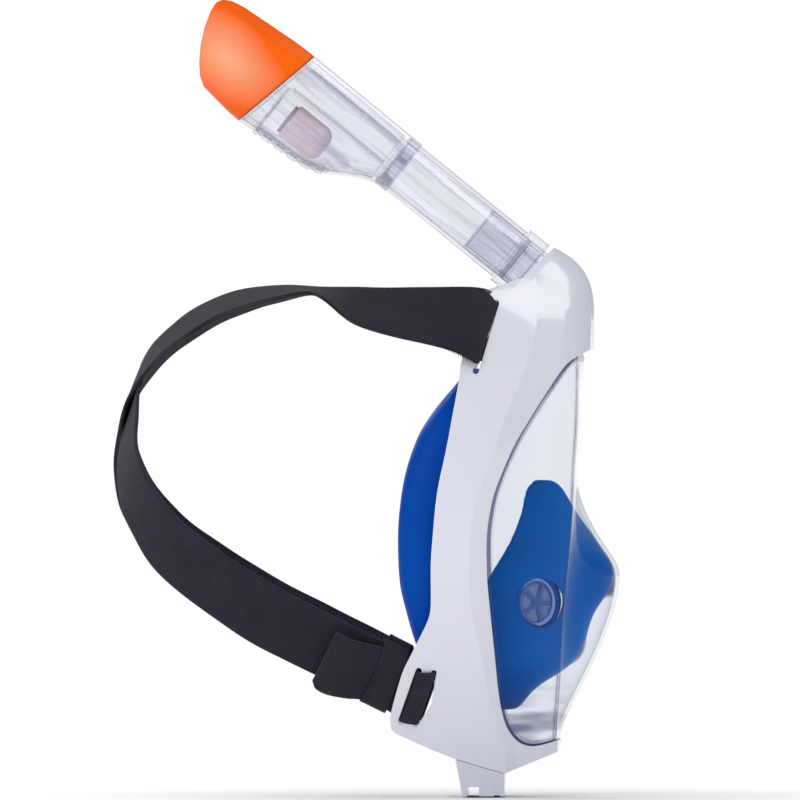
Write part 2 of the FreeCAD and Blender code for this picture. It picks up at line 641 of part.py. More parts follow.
def tube_section(z, front, rear, half_y):
    """Plan section of the dry top: flat front with bevelled corners, round belly at the rear."""
    bevel = 5.0
    side_end = rear + min(13.0, 0.45 * (front - rear))
    pts = [(front, half_y - bevel), (front - bevel, half_y), (side_end, half_y)]
    belly = [(side_end, half_y), (rear + 0.3 * (side_end - rear), 0.78 * half_y), (rear, 0.38 * half_y)]
    rear_edge = belly + [(rear - 0.4, 0)] + [(f, -y) for f, y in belly[::-1]]
    edges = [Part.makeLine(V(pts[0][0], -pts[0][1], z), V(*pts[0], z)),
             Part.makeLine(V(*pts[0], z), V(*pts[1], z)),
             Part.makeLine(V(*pts[1], z), V(*pts[2], z)),
             smooth([(f, y, z) for f, y in rear_edge]),
             Part.makeLine(V(pts[2][0], -pts[2][1], z), V(pts[1][0], -pts[1][1], z)),
             Part.makeLine(V(pts[1][0], -pts[1][1], z), V(pts[0][0], -pts[0][1], z))]
    return Part.Wire(edges)


# along the tube: (z, front, rear, half breadth)
TOP_LEVELS = [(77, 14.0, -13.9, 19.6), (85, 14.0, -14.3, 19.6), (94, 14.1, -18.4, 19.6),
              (109, 14.2, -27.0, 19.6), (124, 14.3, -29.6, 19.6), (139, 14.4, -30.5, 19.4),
              (156, 14.5, -31.6, 19.0)]
CAP_LEVELS = [(138, 14.2, -30.4, 19.3), (152, 14.3, -31.5, 19.1), (165, 13.4, -31.2, 18.4),
              (176, 12.4, -29.7, 17.2), (186, 11.6, -27.0, 15.4), (197, 10.6, -24.0, 12.6)]


def top_solid(levels, inset):
    wires = [tube_section(z, front - inset, rear + inset, half_y - inset)
             for z, front, rear, half_y in levels]
    return Part.makeLoft(wires, True, False)


SPLIT_LINE = [(-60, 157.9), (60, 134.8)]


def below_split(offset):
    """Side region under the slanted line between clear body and cap, moved by offset."""
    (f0, z0), (f1, z1) = SPLIT_LINE
    return prism_xz([(f0, z0 + offset), (f1, z1 + offset), (f1, 0), (f0, 0)], -60, 60)


def make_snorkel_tube():
    """Straight clear tube with a thicker foot; rests on the neck of the frame."""
    body = doc.addObject("PartDesign::Body", "snorkel_tube")

    def race_track(name, grow):
        sketch = new_sketch(body, name, "XY_Plane")
        r = TUBE_F + grow
        s = TUBE_Y - TUBE_F
        sketch.addGeometry(Part.LineSegment(V(r, -s, 0), V(r, s, 0)))
        sketch.addGeometry(Part.LineSegment(V(-r, s, 0), V(-r, -s, 0)))
        sketch.addGeometry(Part.ArcOfCircle(Part.Circle(V(0, s, 0), V(0, 0, 1), r), 0, math.pi))
        sketch.addGeometry(Part.ArcOfCircle(Part.Circle(V(0, -s, 0), V(0, 0, 1), r), math.pi, 2 * math.pi))
        return sketch

    pad(body, "tube_length", race_track("tube_outline", 0), "tube_top")
    pad(body, "foot_length", race_track("foot_outline", val("collar_grow")), "collar_height")
    doc.recompute()
    through_pocket(body, "tube_bore", race_track("bore_outline", -val("tube_wall")))
    doc.recompute()
    lug = new_sketch(body, "lug_outline", "XZ_Plane")
    polygon(lug, [(-TUBE_F, 0.4), (-TUBE_F - 4.6, 3.0), (-TUBE_F - 4.6, 6.6), (-TUBE_F, 9.0)])
    lugs = body.newObject("PartDesign::Pad", "pin_lugs")
    lugs.Profile = lug
    lugs.Midplane = True
    lugs.setExpression("Length", "Dimensions.latch_breadth + 5")
    body.Tip = lugs
    doc.recompute()
    gap = new_sketch(body, "latch_gap_outline", "XZ_Plane")
    floor_f = -TUBE_F - 1.8
    polygon(gap, [(floor_f, -1), (floor_f - 7, -1), (floor_f - 7, 14), (floor_f, 14)])
    slot = body.newObject("PartDesign::Pocket", "latch_gap")
    slot.Profile = gap
    slot.Midplane = True
    slot.setExpression("Length", "Dimensions.latch_breadth + 0.2")
    body.Tip = slot
    doc.recompute()
    bore = new_sketch(body, "pin_bore_outline", "XZ_Plane")
    bore.addGeometry(Part.Circle(V(PIN_F, PIN_Z, 0), V(0, 0, 1), val("pin_radius") + 0.02))
    through_pocket(body, "pin_bore", bore)
    doc.recompute()
    return keep(body, "snorkel_tube", SNORKEL)


PIN_F = -TUBE_F - 3.4
PIN_Z = 4.8


def make_latch():
    """Release latch on its pin: a finger lip above and a hooked foot below the pin."""
    half = val("latch_breadth") / 2
    outline = [(PIN_F - 1.0, 2.2), (PIN_F + 0.8, 2.2), (PIN_F + 1.0, 7.2), (PIN_F - 1.6, 9.2),
               (PIN_F - 4.4, 10.9), (PIN_F - 5.4, 9.8), (PIN_F - 4.6, 7.0), (PIN_F - 2.2, 5.6)]
    latch = prism_xz(outline, -half, half)
    bore = Part.makeCylinder(val("pin_radius") + 0.04, 60, V(PIN_F, -30, PIN_Z), V(0, 1, 0))
    solid_part("release_latch", latch.cut(bore), SNORKEL)
    pin = Part.makeCylinder(val("pin_radius"), 2 * half + 5, V(PIN_F, -half - 2.5, PIN_Z), V(0, 1, 0))
    solid_part("latch_pin", pin, SNORKEL)


def make_dry_top():
    """Clear upper body that sleeves over the tube, with airway walls and a louvred rear cover."""
    wall = val("body_wall")
    shell = top_solid(TOP_LEVELS, 0).cut(top_solid(TOP_LEVELS, wall)).common(below_split(-0.1))
    sill = Part.makeBox(60, 60, 1.8, V(-40, -30, 84.3)).common(top_solid(TOP_LEVELS, 0.4))
    sill = sill.cut(oval(TUBE_F - wall, TUBE_Y - wall, 60, 60))
    sleeve = top_solid(TOP_LEVELS, 0.2).common(Part.makeBox(80, 80, 7.3, V(-40, -40, 77.05)))
    shell = shell.fuse([sill, sleeve]).cut(oval(TUBE_F + 0.06, TUBE_Y + 0.06, 60, 24.06))
    shell = shell.cut(oval(TUBE_F - wall, TUBE_Y - wall, 60, 24.4))
    port = Part.makeBox(14, 24.4, 38.4, V(-36, -12.2, 105.8))
    shell = shell.cut(port)
    solid_part("dry_top_body", one_solid(shell), SNORKEL)
    cover = top_solid(TOP_LEVELS, -0.9).cut(top_solid(TOP_LEVELS, 0.9))
    cover = cover.common(Part.makeBox(14, 24, 38, V(-36, -12, 106)))
    for k in range(5):
        cover = cover.cut(Part.makeBox(30, 19, 2.6, V(-45, -9.5, 109.6 + 7.4 * k)))
    solid_part("vent_cover", one_solid(cover), SNORKEL)
    inside = top_solid(TOP_LEVELS, wall + 0.1)
    walls = (("airway_wall_rear", -4.6, 86.3, 142.0), ("airway_wall_front", 7.9, 86.3, 141.0))
    for label, f, z0, z1 in walls:
        plate = Part.makeBox(1.2, 60, z1 - z0, V(f, -30, z0)).common(inside)
        solid_part(label, one_solid(plate), SNORKEL)


def make_float():
    """Float that rises and presses its pad under the seat plate when the top is under water."""
    body = doc.addObject("PartDesign::Body", "float")
    outline = new_sketch(body, "float_outline", "XY_Plane")
    circle(outline, "float_radius")
    pad(body, "float_block", outline, "float_length")
    doc.recompute()
    roundings = (("nose_round", 0.0, "float_nose"), ("top_round", val("float_length"), "rim_round"))
    for name, level, alias in roundings:
        base = body.Tip
        rounding = body.newObject("PartDesign::Fillet", name)
        rounding.Base = (base, [edge_at(base.Shape, level)])
        rounding.setExpression("Radius", "Dimensions.%s" % alias)
        body.Tip = rounding
        doc.recompute()
    place = shifted(SNORKEL, val("float_at")).multiply(FreeCAD.Placement(V(val("float_f"), 0, 0), NO_TURN))
    keep(body, "float", place)
    pad_shape = Part.makeCylinder(val("float_radius") - 1.4, val("pad_height"))
    solid_part("float_pad", pad_shape, shifted(place, val("float_length")))


def make_float_seat():
    """Plate above the float with the air opening that the pad closes."""
    z0 = val("seat_at")
    inside = top_solid(TOP_LEVELS, val("body_wall") + 0.1)
    plate = Part.makeBox(26.2, 60, val("seat_plate"), V(-31, -30, z0)).common(inside)
    plate = plate.cut(Part.makeCylinder(val("seat_bore"), 20, V(val("float_f"), 0, z0 - 5)))
    solid_part("float_seat", one_solid(plate), SNORKEL)


def make_cap():
    """Signal-coloured cap: slanted lower edge, rounded top leaning to the rear."""
    side = [(19, 120), (14.6, 150), (11.8, 184), (10.4, 190.6), (8.4, 194.4), (5.4, 196), (1, 195.6),
            (-7, 193.0), (-15, 189.0), (-21.6, 184.6), (-26.6, 180.2), (-29.6, 175.6), (-31.4, 160),
            (-34, 120)]

    def outer(inset):
        shape = top_solid(CAP_LEVELS, inset)
        poly = grown(side, -inset) if inset else side
        return shape.common(prism_xz(poly, -60, 60))

    cap = outer(0).cut(outer(val("cap_wall"))).cut(below_split(0.1))
    solid_part("snorkel_cap", one_solid(cap), SNORKEL)


# ---------------------------------------------------------------- strap
def band_path(side):
    """Stations of one elastic band from an upper slot, over the crossing, to the other lower slot.

    Each station is the pair of band edges (x, y, z); side is -1 when the upper end is on the right.
    """
    s = side
    return [
        ((4.2, s * 56.4, 233.8), (-5.4, s * 69.8, 205.4)),
        ((-12, s * 59.5, 239.0), (-16, s * 74.0, 212.5)),
        ((-36, s * 62.0, 241.0), (-40, s * 80.0, 218.5)),
        ((-60, s * 53.5, 241.2), (-60, s * 77.5, 224.5)),
        ((-82, s * 39.0, 241.2), (-80, s * 68.0, 238.2)),
        ((-104, s * 26.0, 241.0), (-102, s * 55.0, 234.5)),
        ((-128, s * 13.0, 234.8), (-123, s * 41.5, 227.5)),
        ((-149, s * 1.0, 221.0), (-145.5, s * 29.0, 214.0)),
        ((-159.8, s * -8.0, 208.0), (-162.0, s * 19.5, 197.5)),
        ((-164.0, s * -17.0, 197.0), (-170.0, s * 9.0, 182.0)),
        ((-165.5, s * -29.0, 182.0), (-174.1, s * -6.0, 163.0)),
        ((-164.5, s * -42.0, 163.0), (-174, s * -20.0, 144.0)),
        ((-156, s * -54.0, 146.0), (-168, s * -35.0, 126.5)),
        ((-142, s * -64.0, 130.5), (-154.5, s * -49.5, 106.5)),
        ((-122, s * -71.5, 116.0), (-134, s * -61.5, 90.0)),
        ((-98, s * -76.5, 101.0), (-109, s * -68.0, 73.4)),
        ((-72.0, s * -77.0, 87.6), (-83.5, s * -65.6, 60.6)),
        ((-46.0, s * -70.6, 74.6), (-57.3, s * -58.2, 47.5)),
        ((-33.6, s * -67.4, 68.4), (-44.8, s * -54.0, 41.2)),
        ((-25.0, s * -65.2, 64.1), (-36.2, s * -50.8, 36.9)),
    ]


CROSSING = 9
BAND_LIFT = 2.2


def ribbon(stations, thickness, shift):
    """Flat band through stations of edge pairs; shift lifts it off the other band where they cross."""
    wires = []
    for i, (a, b) in enumerate(stations):
        a, b = V(*a), V(*b)
        prev = stations[max(i - 1, 0)]
        following = stations[min(i + 1, len(stations) - 1)]
        along = (V(*following[0]) + V(*following[1]) - V(*prev[0]) - V(*prev[1])).normalize()
        across = (b - a).normalize()
        normal = along.cross(across).normalize()
        local = shift * max(0.0, min(1.0, (7 - abs(i - CROSSING)) / 4))
        lift = normal * (local + thickness / 2)
        drop = normal * (local - thickness / 2)
        wires.append(Part.makePolygon([a + lift, b + lift, b + drop, a + drop, a + lift]))
    return Part.makeLoft(wires, True, False)


def make_straps():
    """Two elastic bands that cross behind the head and the keeper sleeves on their lower ends."""
    t = val("strap_plate")
    for label, side in (("strap_band_a", -1), ("strap_band_b", 1)):
        solid_part(label, ribbon(band_path(side), t, BAND_LIFT))
    for word, side in (("right", -1), ("left", 1)):
        start, end = band_path(-side)[KEEPER_SPAN]
        solid_part("strap_keeper_" + word, keeper(start, end))


KEEPER_SPAN = slice(-3, -1)
KEEPER_FRONT = 1.7


def keeper(start, end):
    """Sleeve round the layers of the band; its front end stands just behind the tab of the frame."""
    a0, b0, a1, b1 = V(*start[0]), V(*start[1]), V(*end[0]), V(*end[1])
    across = (b1 - a1).normalize()
    along = ((a1 + b1) - (a0 + b0)).normalize()
    normal = along.cross(across).normalize()
    front = (a1 + b1) * 0.5 - along * KEEPER_FRONT

    def block(half_b, half_t, length, forward):
        corners = [across * half_b + normal * half_t, across * -half_b + normal * half_t,
                   across * -half_b - normal * half_t, across * half_b - normal * half_t]
        base = [front + along * forward + c for c in corners]
        return Part.Face(Part.makePolygon(base + base[:1])).extrude(along * -length)

    wall = val("keeper_wall")
    half_b, half_t, length = val("keeper_half_breadth"), val("keeper_half_room"), val("keeper_length")
    sleeve = block(half_b + wall, half_t + wall, length, 0)
    return sleeve.cut(block(half_b, half_t, length + 10, 5))


def main():
    make_frame_shell()
    make_visor()
    make_face_skirt()
    make_retaining_ring()
    make_nose_cup()
    make_valves()
    make_chin_cap()
    make_screws()
    make_spigot()
    make_snorkel_tube()
    make_latch()
    make_dry_top()
    make_float()
    make_float_seat()
    make_cap()
    make_straps()
    doc.recompute()
    problems = [o.Name for o in doc.Objects if "Invalid" in o.State or "Error" in o.State]
    for obj in PARTS:
        shape = obj.Shape
        if shape.isNull() or not shape.isValid() or not shape.Solids:
            problems.append(obj.Label)
    if problems:
        raise RuntimeError("failed objects: " + ", ".join(problems))
    os.makedirs("parts", exist_ok=True)
    for obj in PARTS:
        obj.Shape.exportStep("parts/%s.step" % obj.Label)
        print("%-20s %2d solids %10.1f mm3" % (obj.Label, len(obj.Shape.Solids), obj.Shape.Volume))


main()
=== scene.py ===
import bpy
import math
import random
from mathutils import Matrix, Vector


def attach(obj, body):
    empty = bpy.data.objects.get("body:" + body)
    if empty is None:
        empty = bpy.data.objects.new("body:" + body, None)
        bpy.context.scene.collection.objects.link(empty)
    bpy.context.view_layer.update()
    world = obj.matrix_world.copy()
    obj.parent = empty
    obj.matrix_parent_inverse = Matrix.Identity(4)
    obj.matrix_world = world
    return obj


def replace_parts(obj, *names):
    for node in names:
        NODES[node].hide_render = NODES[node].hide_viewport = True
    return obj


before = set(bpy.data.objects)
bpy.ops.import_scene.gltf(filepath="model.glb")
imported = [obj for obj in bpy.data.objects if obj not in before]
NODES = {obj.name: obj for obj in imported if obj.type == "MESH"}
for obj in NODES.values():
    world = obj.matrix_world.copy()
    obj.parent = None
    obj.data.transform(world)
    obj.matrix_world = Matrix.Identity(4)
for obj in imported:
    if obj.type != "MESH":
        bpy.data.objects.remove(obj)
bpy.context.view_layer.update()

random.seed(11)
MM = 0.001                         # lengths in tables are in mm, the scene is in metres
TUBE_LEAN = 51.0                   # snorkel axis from upright, degrees
LENS_FOOT = 0.031                  # lowest part of the lens, where its walls are seen edge on and the painted reflection is densest
LENS_FOOT_HEIGHT = 0.026           # height over which the painted reflection and refraction at the lens foot fades out
CAP_HIGHLIGHT = (0.1958, 0.0, 0.1738)   # middle of the painted highlight on the cap, in squeezed snorkel coordinates
CAP_HIGHLIGHT_REACH = 0.021             # radius at which the painted highlight has faded out


def srgb(r, g, b):
    """Linear colour from 0-255 display values."""
    def lin(c):
        c /= 255.0
        return c / 12.92 if c <= 0.04045 else ((c + 0.055) / 1.055) ** 2.4
    return (lin(r), lin(g), lin(b), 1.0)


# ------------------------------------------------------------------ material helpers
class Graph:
    """Small wrapper for building a node material."""

    def __init__(self, name):
        self.mat = bpy.data.materials.new(name)
        self.mat.use_nodes = True
        self.tree = self.mat.node_tree
        self.tree.nodes.clear()
        self.out = self.node("ShaderNodeOutputMaterial")

    def node(self, kind, **settings):
        n = self.tree.nodes.new(kind)
        for key, value in settings.items():
            if key in n.inputs.keys():
                n.inputs[key].default_value = value
            else:
                setattr(n, key, value)
        return n

    def link(self, a, b):
        self.tree.links.new(a, b)

    def coords(self):
        return self.node("ShaderNodeTexCoord").outputs["Object"]

    def noise(self, vector, scale, detail=3.0, rough=0.5, stretch=None):
        if stretch:
            m = self.node("ShaderNodeMapping")
            m.inputs["Scale"].default_value = stretch
            self.link(vector, m.inputs["Vector"])
            vector = m.outputs["Vector"]
        n = self.node("ShaderNodeTexNoise")
        n.inputs["Scale"].default_value = scale
        n.inputs["Detail"].default_value = detail
        n.inputs["Roughness"].default_value = rough
        self.link(vector, n.inputs["Vector"])
        return n.outputs["Fac"]

    def ramp(self, fac, stops):
        r = self.node("ShaderNodeValToRGB")
        els = r.color_ramp.elements
        while len(els) > 1:
            els.remove(els[-1])
        els[0].position, els[0].color = stops[0]
        for pos, col in stops[1:]:
            els.new(pos).color = col
        self.link(fac, r.inputs["Fac"])
        return r.outputs["Color"]

    def value_ramp(self, fac, lo, hi, a=0.0, b=1.0):
        m = self.node("ShaderNodeMapRange")
        m.inputs["From Min"].default_value = lo
        m.inputs["From Max"].default_value = hi
        m.inputs["To Min"].default_value = a
        m.inputs["To Max"].default_value = b
        self.link(fac, m.inputs["Value"])
        return m.outputs["Result"]

    def math(self, op, a, b=None):
        m = self.node("ShaderNodeMath", operation=op)
        for i, v in enumerate((a, b)):
            if v is None:
                continue
            if isinstance(v, (int, float)):
                m.inputs[i].default_value = v
            else:
                self.link(v, m.inputs[i])
        return m.outputs[0]

    def bump(self, height, strength, distance, normal=None):
        b = self.node("ShaderNodeBump")
        b.inputs["Strength"].default_value = strength
        b.inputs["Distance"].default_value = distance
        self.link(height, b.inputs["Height"])
        if normal is not None:
            self.link(normal, b.inputs["Normal"])
        return b.outputs["Normal"]

    def soft_edges(self, radius):
        b = self.node("ShaderNodeBevel", samples=6)
        b.inputs["Radius"].default_value = radius
        return b.outputs["Normal"]

    def crest(self, radius):
        """How sharply the surface turns within radius: 0 on open faces, rising at moulded edges."""
        edge = self.node("ShaderNodeVectorMath", operation="DOT_PRODUCT")
        self.link(self.soft_edges(radius), edge.inputs[0])
        self.link(self.node("ShaderNodeNewGeometry").outputs["Normal"], edge.inputs[1])
        return self.math("SUBTRACT", 1.0, edge.outputs["Value"])

    def along_tube(self, stretch, across=1):
        """Object coordinates turned so that Z runs along the snorkel, scaled along it and across it."""
        turn = self.node("ShaderNodeMapping")
        turn.inputs["Rotation"].default_value = (0, math.radians(TUBE_LEAN), 0)
        self.link(self.coords(), turn.inputs["Vector"])
        squeeze = self.node("ShaderNodeMapping")
        squeeze.inputs["Scale"].default_value = (1, across, stretch)
        self.link(turn.outputs["Vector"], squeeze.inputs["Vector"])
        return squeeze.outputs["Vector"]

    def blend_color(self, fac, a, b, kind="MIX"):
        mix = self.node("ShaderNodeMixRGB", blend_type=kind)
        for i, v in enumerate((fac, a, b)):
            if isinstance(v, (int, float, tuple)):
                mix.inputs[i].default_value = v
            else:
                self.link(v, mix.inputs[i])
        return mix.outputs[0]

    def principled(self, color, rough, normal=None, **extra):
        p = self.node("ShaderNodeBsdfPrincipled")
        if isinstance(color, tuple):
            p.inputs["Base Color"].default_value = color
        else:
            self.link(color, p.inputs["Base Color"])
        if isinstance(rough, (int, float)):
            p.inputs["Roughness"].default_value = rough
        else:
            self.link(rough, p.inputs["Roughness"])
        if normal is not None:
            self.link(normal, p.inputs["Normal"])
        for key, value in extra.items():
            p.inputs[key.replace("_", " ")].default_value = value
        return p.outputs["BSDF"]

    def finish(self, shader):
        self.link(shader, self.out.inputs["Surface"])
        return self.mat


def white_plastic(name, color, rough=0.16, edge=0.0007):
    """Moulded gloss plastic: faint flow clouding, soft edges with a painted highlight along them, uneven
    gloss.
    """
    g = Graph(name)
    pos = g.coords()
    shade = tuple(c * 0.985 for c in color[:3]) + (1.0,)
    col = g.ramp(g.noise(pos, 14.0, 2.0), [(0.3, shade), (0.7, color)])
    # painted highlight: moulded edges are mixed towards a paler white
    crest = g.value_ramp(g.crest(0.0012), 0.02, 0.2, 0.0, 0.5)
    col = g.blend_color(crest, col, srgb(244, 245, 252))
    gloss = g.value_ramp(g.noise(pos, 60.0, 3.0), 0.3, 0.7, rough - 0.03, rough + 0.05)
    grain = g.bump(g.noise(pos, 900.0, 2.0), 0.04, 0.0003, g.soft_edges(edge))
    wave = g.bump(g.noise(pos, 16.0, 1.0), 0.05, 0.002, grain)
    return g.finish(g.principled(col, gloss, wave, Coat_Weight=0.6, Coat_Roughness=0.03,
                                 Subsurface_Weight=0.05, Subsurface_Scale=0.003))


def lens_foot_reflection(g, pos):
    """Painted reflection and refraction of the chin frame and rim: streaky density at the foot of the lens,
    plus a faint sweep over all of it.
    """
    height = g.node("ShaderNodeSeparateXYZ")
    g.link(pos, height.inputs[0])
    low = g.value_ramp(height.outputs["Z"], LENS_FOOT + LENS_FOOT_HEIGHT, LENS_FOOT)
    # painted reflection and refraction: stretched streaks that thicken towards the foot of the lens
    reflected_streaks = g.value_ramp(g.noise(pos, 34.0, 1.5, stretch=(0.7, 0.7, 4.5)), 0.42, 0.62, 0.03, 0.62)
    sweep = g.value_ramp(g.noise(pos, 15.0, 1.0, stretch=(1.6, 1.0, 0.35)), 0.5, 0.66, 0.0, 0.03)
    return g.math("ADD", g.math("MULTIPLY", low, reflected_streaks), sweep)


def contact_shade(g):
    """Painted shade: 1 where another piece stands within a few mm, seen by the camera only so it casts no
    shadow.
    """
    near = g.node("ShaderNodeAmbientOcclusion", samples=8)
    near.inputs["Distance"].default_value = 0.0034
    seen = g.node("ShaderNodeLightPath").outputs["Is Camera Ray"]
    return g.math("MULTIPLY", g.value_ramp(near.outputs["AO"], 0.97, 0.72, 0.0, 0.97), seen)


def mix_shaders(g, fac, a, b):
    mix = g.node("ShaderNodeMixShader")
    g.link(fac, mix.inputs[0])
    g.link(a, mix.inputs[1])
    g.link(b, mix.inputs[2])
    return mix.outputs[0]


def clear_plastic(name, tint, edge_color, dense=0.6, haze=0.0, line=0.7, contact_shade_color=None, streaks=False,
                  shine_on=0.003, foot_reflection=False):
    """Clear moulded plastic: see-through face on, denser at grazing angles and along moulded edges.

    The colour given for close pieces is the navy of a painted shade where another piece stands close; the
    lens-foot switch adds painted reflection and refraction of the chin frame and rim as streaks at the foot
    of the lens; streaks run along the snorkel.
    """
    g = Graph(name)
    pos = g.coords()
    ripple_map = g.noise(g.along_tube(0.12), 150.0, 2.0) if streaks else g.noise(pos, 38.0, 1.5)
    ripple = g.bump(ripple_map, 0.3 if streaks else 0.05, 0.003, g.soft_edges(0.0005))
    clear = g.node("ShaderNodeBsdfTransparent", Color=tint)
    weight = g.node("ShaderNodeLayerWeight", Blend=0.5)
    g.link(ripple, weight.inputs["Normal"])
    facing = g.math("POWER", weight.outputs["Facing"], 4.0)
    cloud = g.value_ramp(g.noise(pos, 30.0, 3.0), 0.35, 0.65, 0.8, 1.2)
    amount = g.math("ADD", g.math("MULTIPLY", g.math("MULTIPLY", facing, dense), cloud), haze)
    if streaks:
        band = g.value_ramp(g.noise(g.along_tube(0.07), 210.0, 2.5), 0.52, 0.7, 0.0, 0.42)
        amount = g.math("ADD", amount, band)
    # painted reflection and refraction of the chin frame and rim at the foot of the lens
    if foot_reflection:
        amount = g.math("ADD", amount, lens_foot_reflection(g, pos))
    # two thin lines flank each moulded edge: light bends away on both sides of it
    turn = g.crest(0.0024)
    lines = g.math("MULTIPLY", g.value_ramp(turn, 0.002, 0.012), g.value_ramp(turn, 0.06, 0.035))
    amount = g.math("MAXIMUM", amount, g.math("MULTIPLY", lines, line))
    color = edge_color
    # painted shade: a navy tone mixed in where another piece stands within a few mm, such as the frame round
    # the window
    if contact_shade_color is not None:
        contact_shade_mask = contact_shade(g)
        amount = g.math("MAXIMUM", amount, contact_shade_mask)
        color = g.blend_color(contact_shade_mask, edge_color, contact_shade_color)
    body = g.principled(color, 0.22, ripple, Specular_IOR_Level=0.2)
    tinted = mix_shaders(g, amount, clear.outputs[0], body)
    fresnel = g.node("ShaderNodeFresnel", IOR=1.5)
    g.link(ripple, fresnel.inputs["Normal"])
    shine = g.value_ramp(fresnel.outputs[0], 0.04, 1.0, shine_on, 0.9)
    mirror = g.node("ShaderNodeBsdfGlossy", Color=(1, 1, 1, 1), Roughness=0.03)
    g.link(ripple, mirror.inputs["Normal"])
    glossy = mix_shaders(g, shine, tinted, mirror.outputs[0])
    # the far face of each wall lets light straight through, so a wall counts once
    through = g.node("ShaderNodeBsdfTransparent", Color=(1, 1, 1, 1))
    backface = g.node("ShaderNodeNewGeometry").outputs["Backfacing"]
    return g.finish(mix_shaders(g, backface, glossy, through.outputs[0]))


def silicone(name, color, deep, rough=0.42, spread=9.0, shine=0.06):
    """Soft silicone: satin skin, deeper tone in broad random patches, and a painted highlight: a lighter rim
    at grazing angles.
    """
    g = Graph(name)
    pos = g.coords()
    col = g.ramp(g.noise(pos, spread, 2.0), [(0.3, deep), (0.7, color)])
    # painted highlight: the colour turns lighter towards grazing angles, as a rim light
    weight = g.node("ShaderNodeLayerWeight", Blend=0.35)
    rim = g.value_ramp(weight.outputs["Facing"], 0.55, 1.0, 0.0, 0.35)
    lighter = tuple(min(1.0, c * 1.9 + 0.004) for c in color[:3]) + (1.0,)
    col = g.blend_color(rim, col, lighter)
    grain = g.bump(g.noise(pos, 1600.0, 2.0), 0.05, 0.0002)
    flow = g.bump(g.noise(pos, 26.0, 2.0), 0.06, 0.003, grain)
    gloss = g.value_ramp(g.noise(pos, 45.0, 3.0), 0.3, 0.7, rough - 0.06, rough + 0.08)
    return g.finish(g.principled(col, gloss, flow, Specular_IOR_Level=shine,
                                 Subsurface_Weight=0.05, Subsurface_Scale=0.002))


def signal_orange(name):
    """Fine-textured high-visibility plastic with a painted highlight: a pale peach patch on the side of the
    cap.
    """
    g = Graph(name)
    pos = g.coords()
    col = g.ramp(g.noise(pos, 18.0, 3.0), [(0.3, srgb(254, 92, 0)), (0.7, srgb(255, 106, 0))])
    # painted highlight: a pale peach patch on the side of the cap, fading out over a set radius
    reach = g.node("ShaderNodeVectorMath", operation="DISTANCE")
    lengthwise = g.along_tube(0.55, 0)
    g.link(lengthwise, reach.inputs[0])
    reach.inputs[1].default_value = CAP_HIGHLIGHT
    uneven = g.math("MULTIPLY", g.noise(pos, 55.0, 2.0), 0.004)
    glow = g.value_ramp(g.math("ADD", reach.outputs["Value"], uneven), 0.001, CAP_HIGHLIGHT_REACH, 0.88, 0.0)
    col = g.blend_color(glow, col, srgb(254, 190, 150))
    grain = g.bump(g.noise(pos, 1100.0, 2.0), 0.25, 0.0003, g.soft_edges(0.003))
    gloss = g.value_ramp(g.noise(pos, 70.0, 4.0), 0.3, 0.7, 0.28, 0.42)
    return g.finish(g.principled(col, gloss, grain, Subsurface_Weight=0.08, Subsurface_Scale=0.003,
                                 Specular_IOR_Level=0.08, Coat_Weight=0.03, Coat_Roughness=0.25))


def elastic(name, rib=1900.0, cord=1150.0):
    """Elastic webbing from the strip's own UVs in metres: cords along it, fine picks across it, lint."""
    g = Graph(name)
    sep = g.node("ShaderNodeSeparateXYZ")
    g.link(g.node("ShaderNodeUVMap").outputs["UV"], sep.inputs[0])
    along, across = sep.outputs["X"], sep.outputs["Y"]
    shift = g.math("MULTIPLY", g.noise(g.coords(), 160.0, 2.0), 3.0)
    picks = g.math("SINE", g.math("ADD", g.math("MULTIPLY", along, rib * 2 * math.pi), shift))
    cords = g.math("SINE", g.math("MULTIPLY", across, cord * 2 * math.pi))
    weave = g.math("ADD", g.math("MULTIPLY", cords, 0.75), g.math("MULTIPLY", picks, 0.4))
    fuzz = g.noise(g.coords(), 2400.0, 3.0)
    lint = g.value_ramp(g.noise(g.coords(), 900.0, 4.0, 0.7), 0.62, 0.74, 0.0, 0.5)
    col = g.ramp(g.value_ramp(weave, -1.1, 1.1), [(0.0, srgb(24, 23, 30)), (0.55, srgb(39, 38, 48)),
                                                  (1.0, srgb(62, 61, 75))])
    col = g.blend_color(0.5, col, g.ramp(fuzz, [(0.3, (0.55, 0.55, 0.56, 1)), (0.7, (1.25, 1.25, 1.28, 1))]),
                        "MULTIPLY")
    tone = g.ramp(g.noise(g.coords(), 60.0, 3.0), [(0.35, (0.86, 0.86, 0.87, 1)), (0.7, (1.1, 1.1, 1.12, 1))])
    col = g.blend_color(1.0, col, tone, "MULTIPLY")
    col = g.blend_color(lint, col, srgb(86, 85, 98))
    normal = g.bump(weave, 0.5, 0.00016)
    normal = g.bump(fuzz, 0.3, 0.00015, normal)
    return g.finish(g.principled(col, 0.88, normal, Sheen_Weight=0.05, Sheen_Roughness=0.5,
                                 Specular_IOR_Level=0.2))


def steel(name):
    """Turned stainless steel."""
    g = Graph(name)
    pos = g.coords()
    col = g.ramp(g.noise(pos, 120.0, 2.0), [(0.3, (0.42, 0.42, 0.44, 1)), (0.7, (0.62, 0.62, 0.64, 1))])
    lines = g.bump(g.noise(pos, 700.0, 2.0, stretch=(1, 1, 8)), 0.15, 0.0003)
    return g.finish(g.principled(col, 0.28, lines, Metallic=1.0))


def foam(name):
    """Pale, faintly rosy float seen through the clear wall."""
    g = Graph(name)
    pos = g.coords()
    col = g.ramp(g.noise(pos, 90.0, 3.0), [(0.3, srgb(236, 216, 222)), (0.7, srgb(252, 240, 244))])
    pores = g.bump(g.noise(pos, 900.0, 3.0), 0.25, 0.0004)
    return g.finish(g.principled(col, 0.38, pores, Subsurface_Weight=0.25, Subsurface_Scale=0.004))


